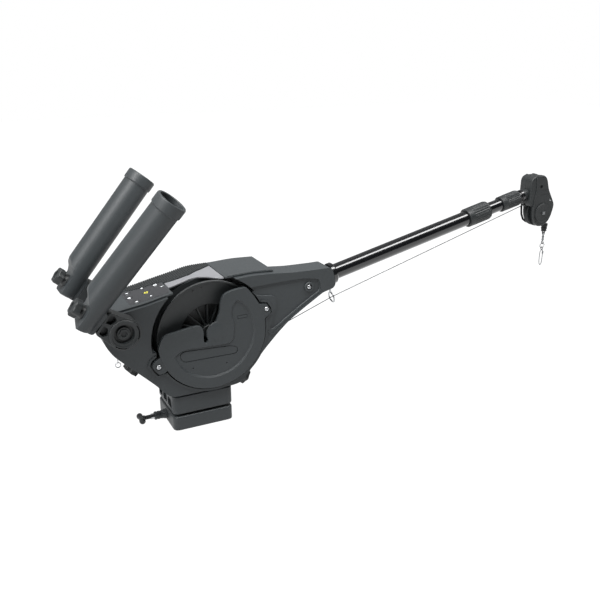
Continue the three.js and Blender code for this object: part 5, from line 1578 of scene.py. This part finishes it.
def studio_world():
    world = bpy.data.worlds.new("studio")
    bpy.context.scene.world = world
    world.use_nodes = True
    tree = world.node_tree
    tree.nodes.clear()
    rays = add(tree, "ShaderNodeLightPath")
    # a broad soft light above and behind, dim towards the camera
    place = add(tree, "ShaderNodeTexCoord")
    height = add(tree, "ShaderNodeVectorMath", {"operation": "DOT_PRODUCT"}, {
        0: place.outputs["Generated"], 1: (0, 0.6, 0.8)})
    sky = add(tree, "ShaderNodeMapRange", inputs={
        "Value": height.outputs["Value"], "From Min": 0.35, "From Max": 1.0, "To Min": 0.08, "To Max": 4.0})
    soft = add(tree, "ShaderNodeBackground", inputs={
        "Color": (1, 1, 1, 1), "Strength": sky.outputs["Result"]})
    # what gloss sees: a white backdrop and a darker room behind the camera
    parts = add(tree, "ShaderNodeSeparateXYZ", inputs={"Vector": place.outputs["Generated"]})
    depth = add(tree, "ShaderNodeMapRange", inputs={
        "Value": parts.outputs["Y"], "From Min": -0.4, "From Max": 0.9, "To Min": 0.03, "To Max": 0.24})
    room = add(tree, "ShaderNodeBackground", inputs={
        "Color": (1, 1, 1, 1), "Strength": depth.outputs["Result"]})
    white = add(tree, "ShaderNodeBackground", inputs={"Color": (1, 1, 1, 1), "Strength": 1.0})
    glossy = add(tree, "ShaderNodeMixShader", inputs={
        "Fac": rays.outputs["Is Glossy Ray"], 1: soft.outputs[0], 2: room.outputs[0]})
    clear = add(tree, "ShaderNodeMixShader", inputs={
        "Fac": rays.outputs["Is Transmission Ray"], 1: glossy.outputs[0], 2: white.outputs[0]})
    camera = add(tree, "ShaderNodeMixShader", inputs={
        "Fac": rays.outputs["Is Camera Ray"], 1: clear.outputs[0], 2: white.outputs[0]})
    add(tree, "ShaderNodeOutputWorld", inputs={"Surface": camera.outputs[0]})


class DOWNRIGGER_OT_stage(bpy.types.Operator):
    """Sets the floor, the soft studio light and the camera at the photograph's angle"""
    bl_idname = "downrigger.stage"
    bl_label = "Stage"

    def execute(self, context):
        bpy.ops.object.select_all(action="DESELECT")
        bpy.ops.mesh.primitive_plane_add(size=12, location=(0.2, 0, -0.0005))
        floor = context.object
        floor.name = "floor"
        floor.data.materials.append(pale_floor())
        softbox("key_softbox", (-1.0, -0.62, 1.6), (-0.02, -0.06, 0.2), 0.6, 0.6, 26)
        softbox("boom_softbox", (0.5, -0.5, 1.6), (0.5, -0.04, 0.28), 1.9, 0.42, 31)
        softbox("left_softbox", (-1.3, -0.7, 0.6), (-0.15, -0.1, 0.33), 0.45, 0.6, 5.5)
        studio_world()
        bpy.ops.object.camera_add(location=(-0.3915, -1.2529, 0.6949))
        camera = context.object
        camera.name = "photo_camera"
        camera.data.sensor_width = 36
        camera.data.lens = 44.12
        camera.data.clip_start = 0.01
        aim(camera, (0.2296, 0, 0.2011))
        context.scene.camera = camera
        context.scene.view_settings.view_transform = "Standard"
        return {"FINISHED"}


OPERATORS = (
    DOWNRIGGER_OT_stage,
    DOWNRIGGER_OT_base,
    DOWNRIGGER_OT_housing,
    DOWNRIGGER_OT_top,
    DOWNRIGGER_OT_spool,
    DOWNRIGGER_OT_boom,
    DOWNRIGGER_OT_head,
    DOWNRIGGER_OT_cable,
    DOWNRIGGER_OT_rod_holders,
    DOWNRIGGER_OT_fittings,
)


class DOWNRIGGER_PT_pieces(bpy.types.Panel):
    """Lists the steps that model the downrigger"""
    bl_idname = "DOWNRIGGER_PT_pieces"
    bl_label = "Downrigger"
    bl_space_type = "VIEW_3D"
    bl_region_type = "UI"
    bl_category = "Downrigger"

    def draw(self, context):
        column = self.layout.column()
        for operator in OPERATORS:
            column.operator(operator.bl_idname)


CLASSES = (DownriggerSizes, DownriggerColours, *OPERATORS, DOWNRIGGER_PT_pieces)


def register():
    for entry in CLASSES:
        bpy.utils.register_class(entry)
    bpy.types.Scene.downrigger_sizes = bpy.props.PointerProperty(type=DownriggerSizes)
    bpy.types.Scene.downrigger_colours = bpy.props.PointerProperty(type=DownriggerColours)


def unregister():
    del bpy.types.Scene.downrigger_colours
    del bpy.types.Scene.downrigger_sizes
    for entry in reversed(CLASSES):
        bpy.utils.unregister_class(entry)


def main():
    register()
    for operator in OPERATORS:
        group, name = operator.bl_idname.split(".")
        result = getattr(getattr(bpy.ops, group), name)()
        if "FINISHED" not in result:
            raise RuntimeError(operator.bl_label + " did not finish")
    bpy.context.view_layer.update()


if __name__ == "__main__":
    main()
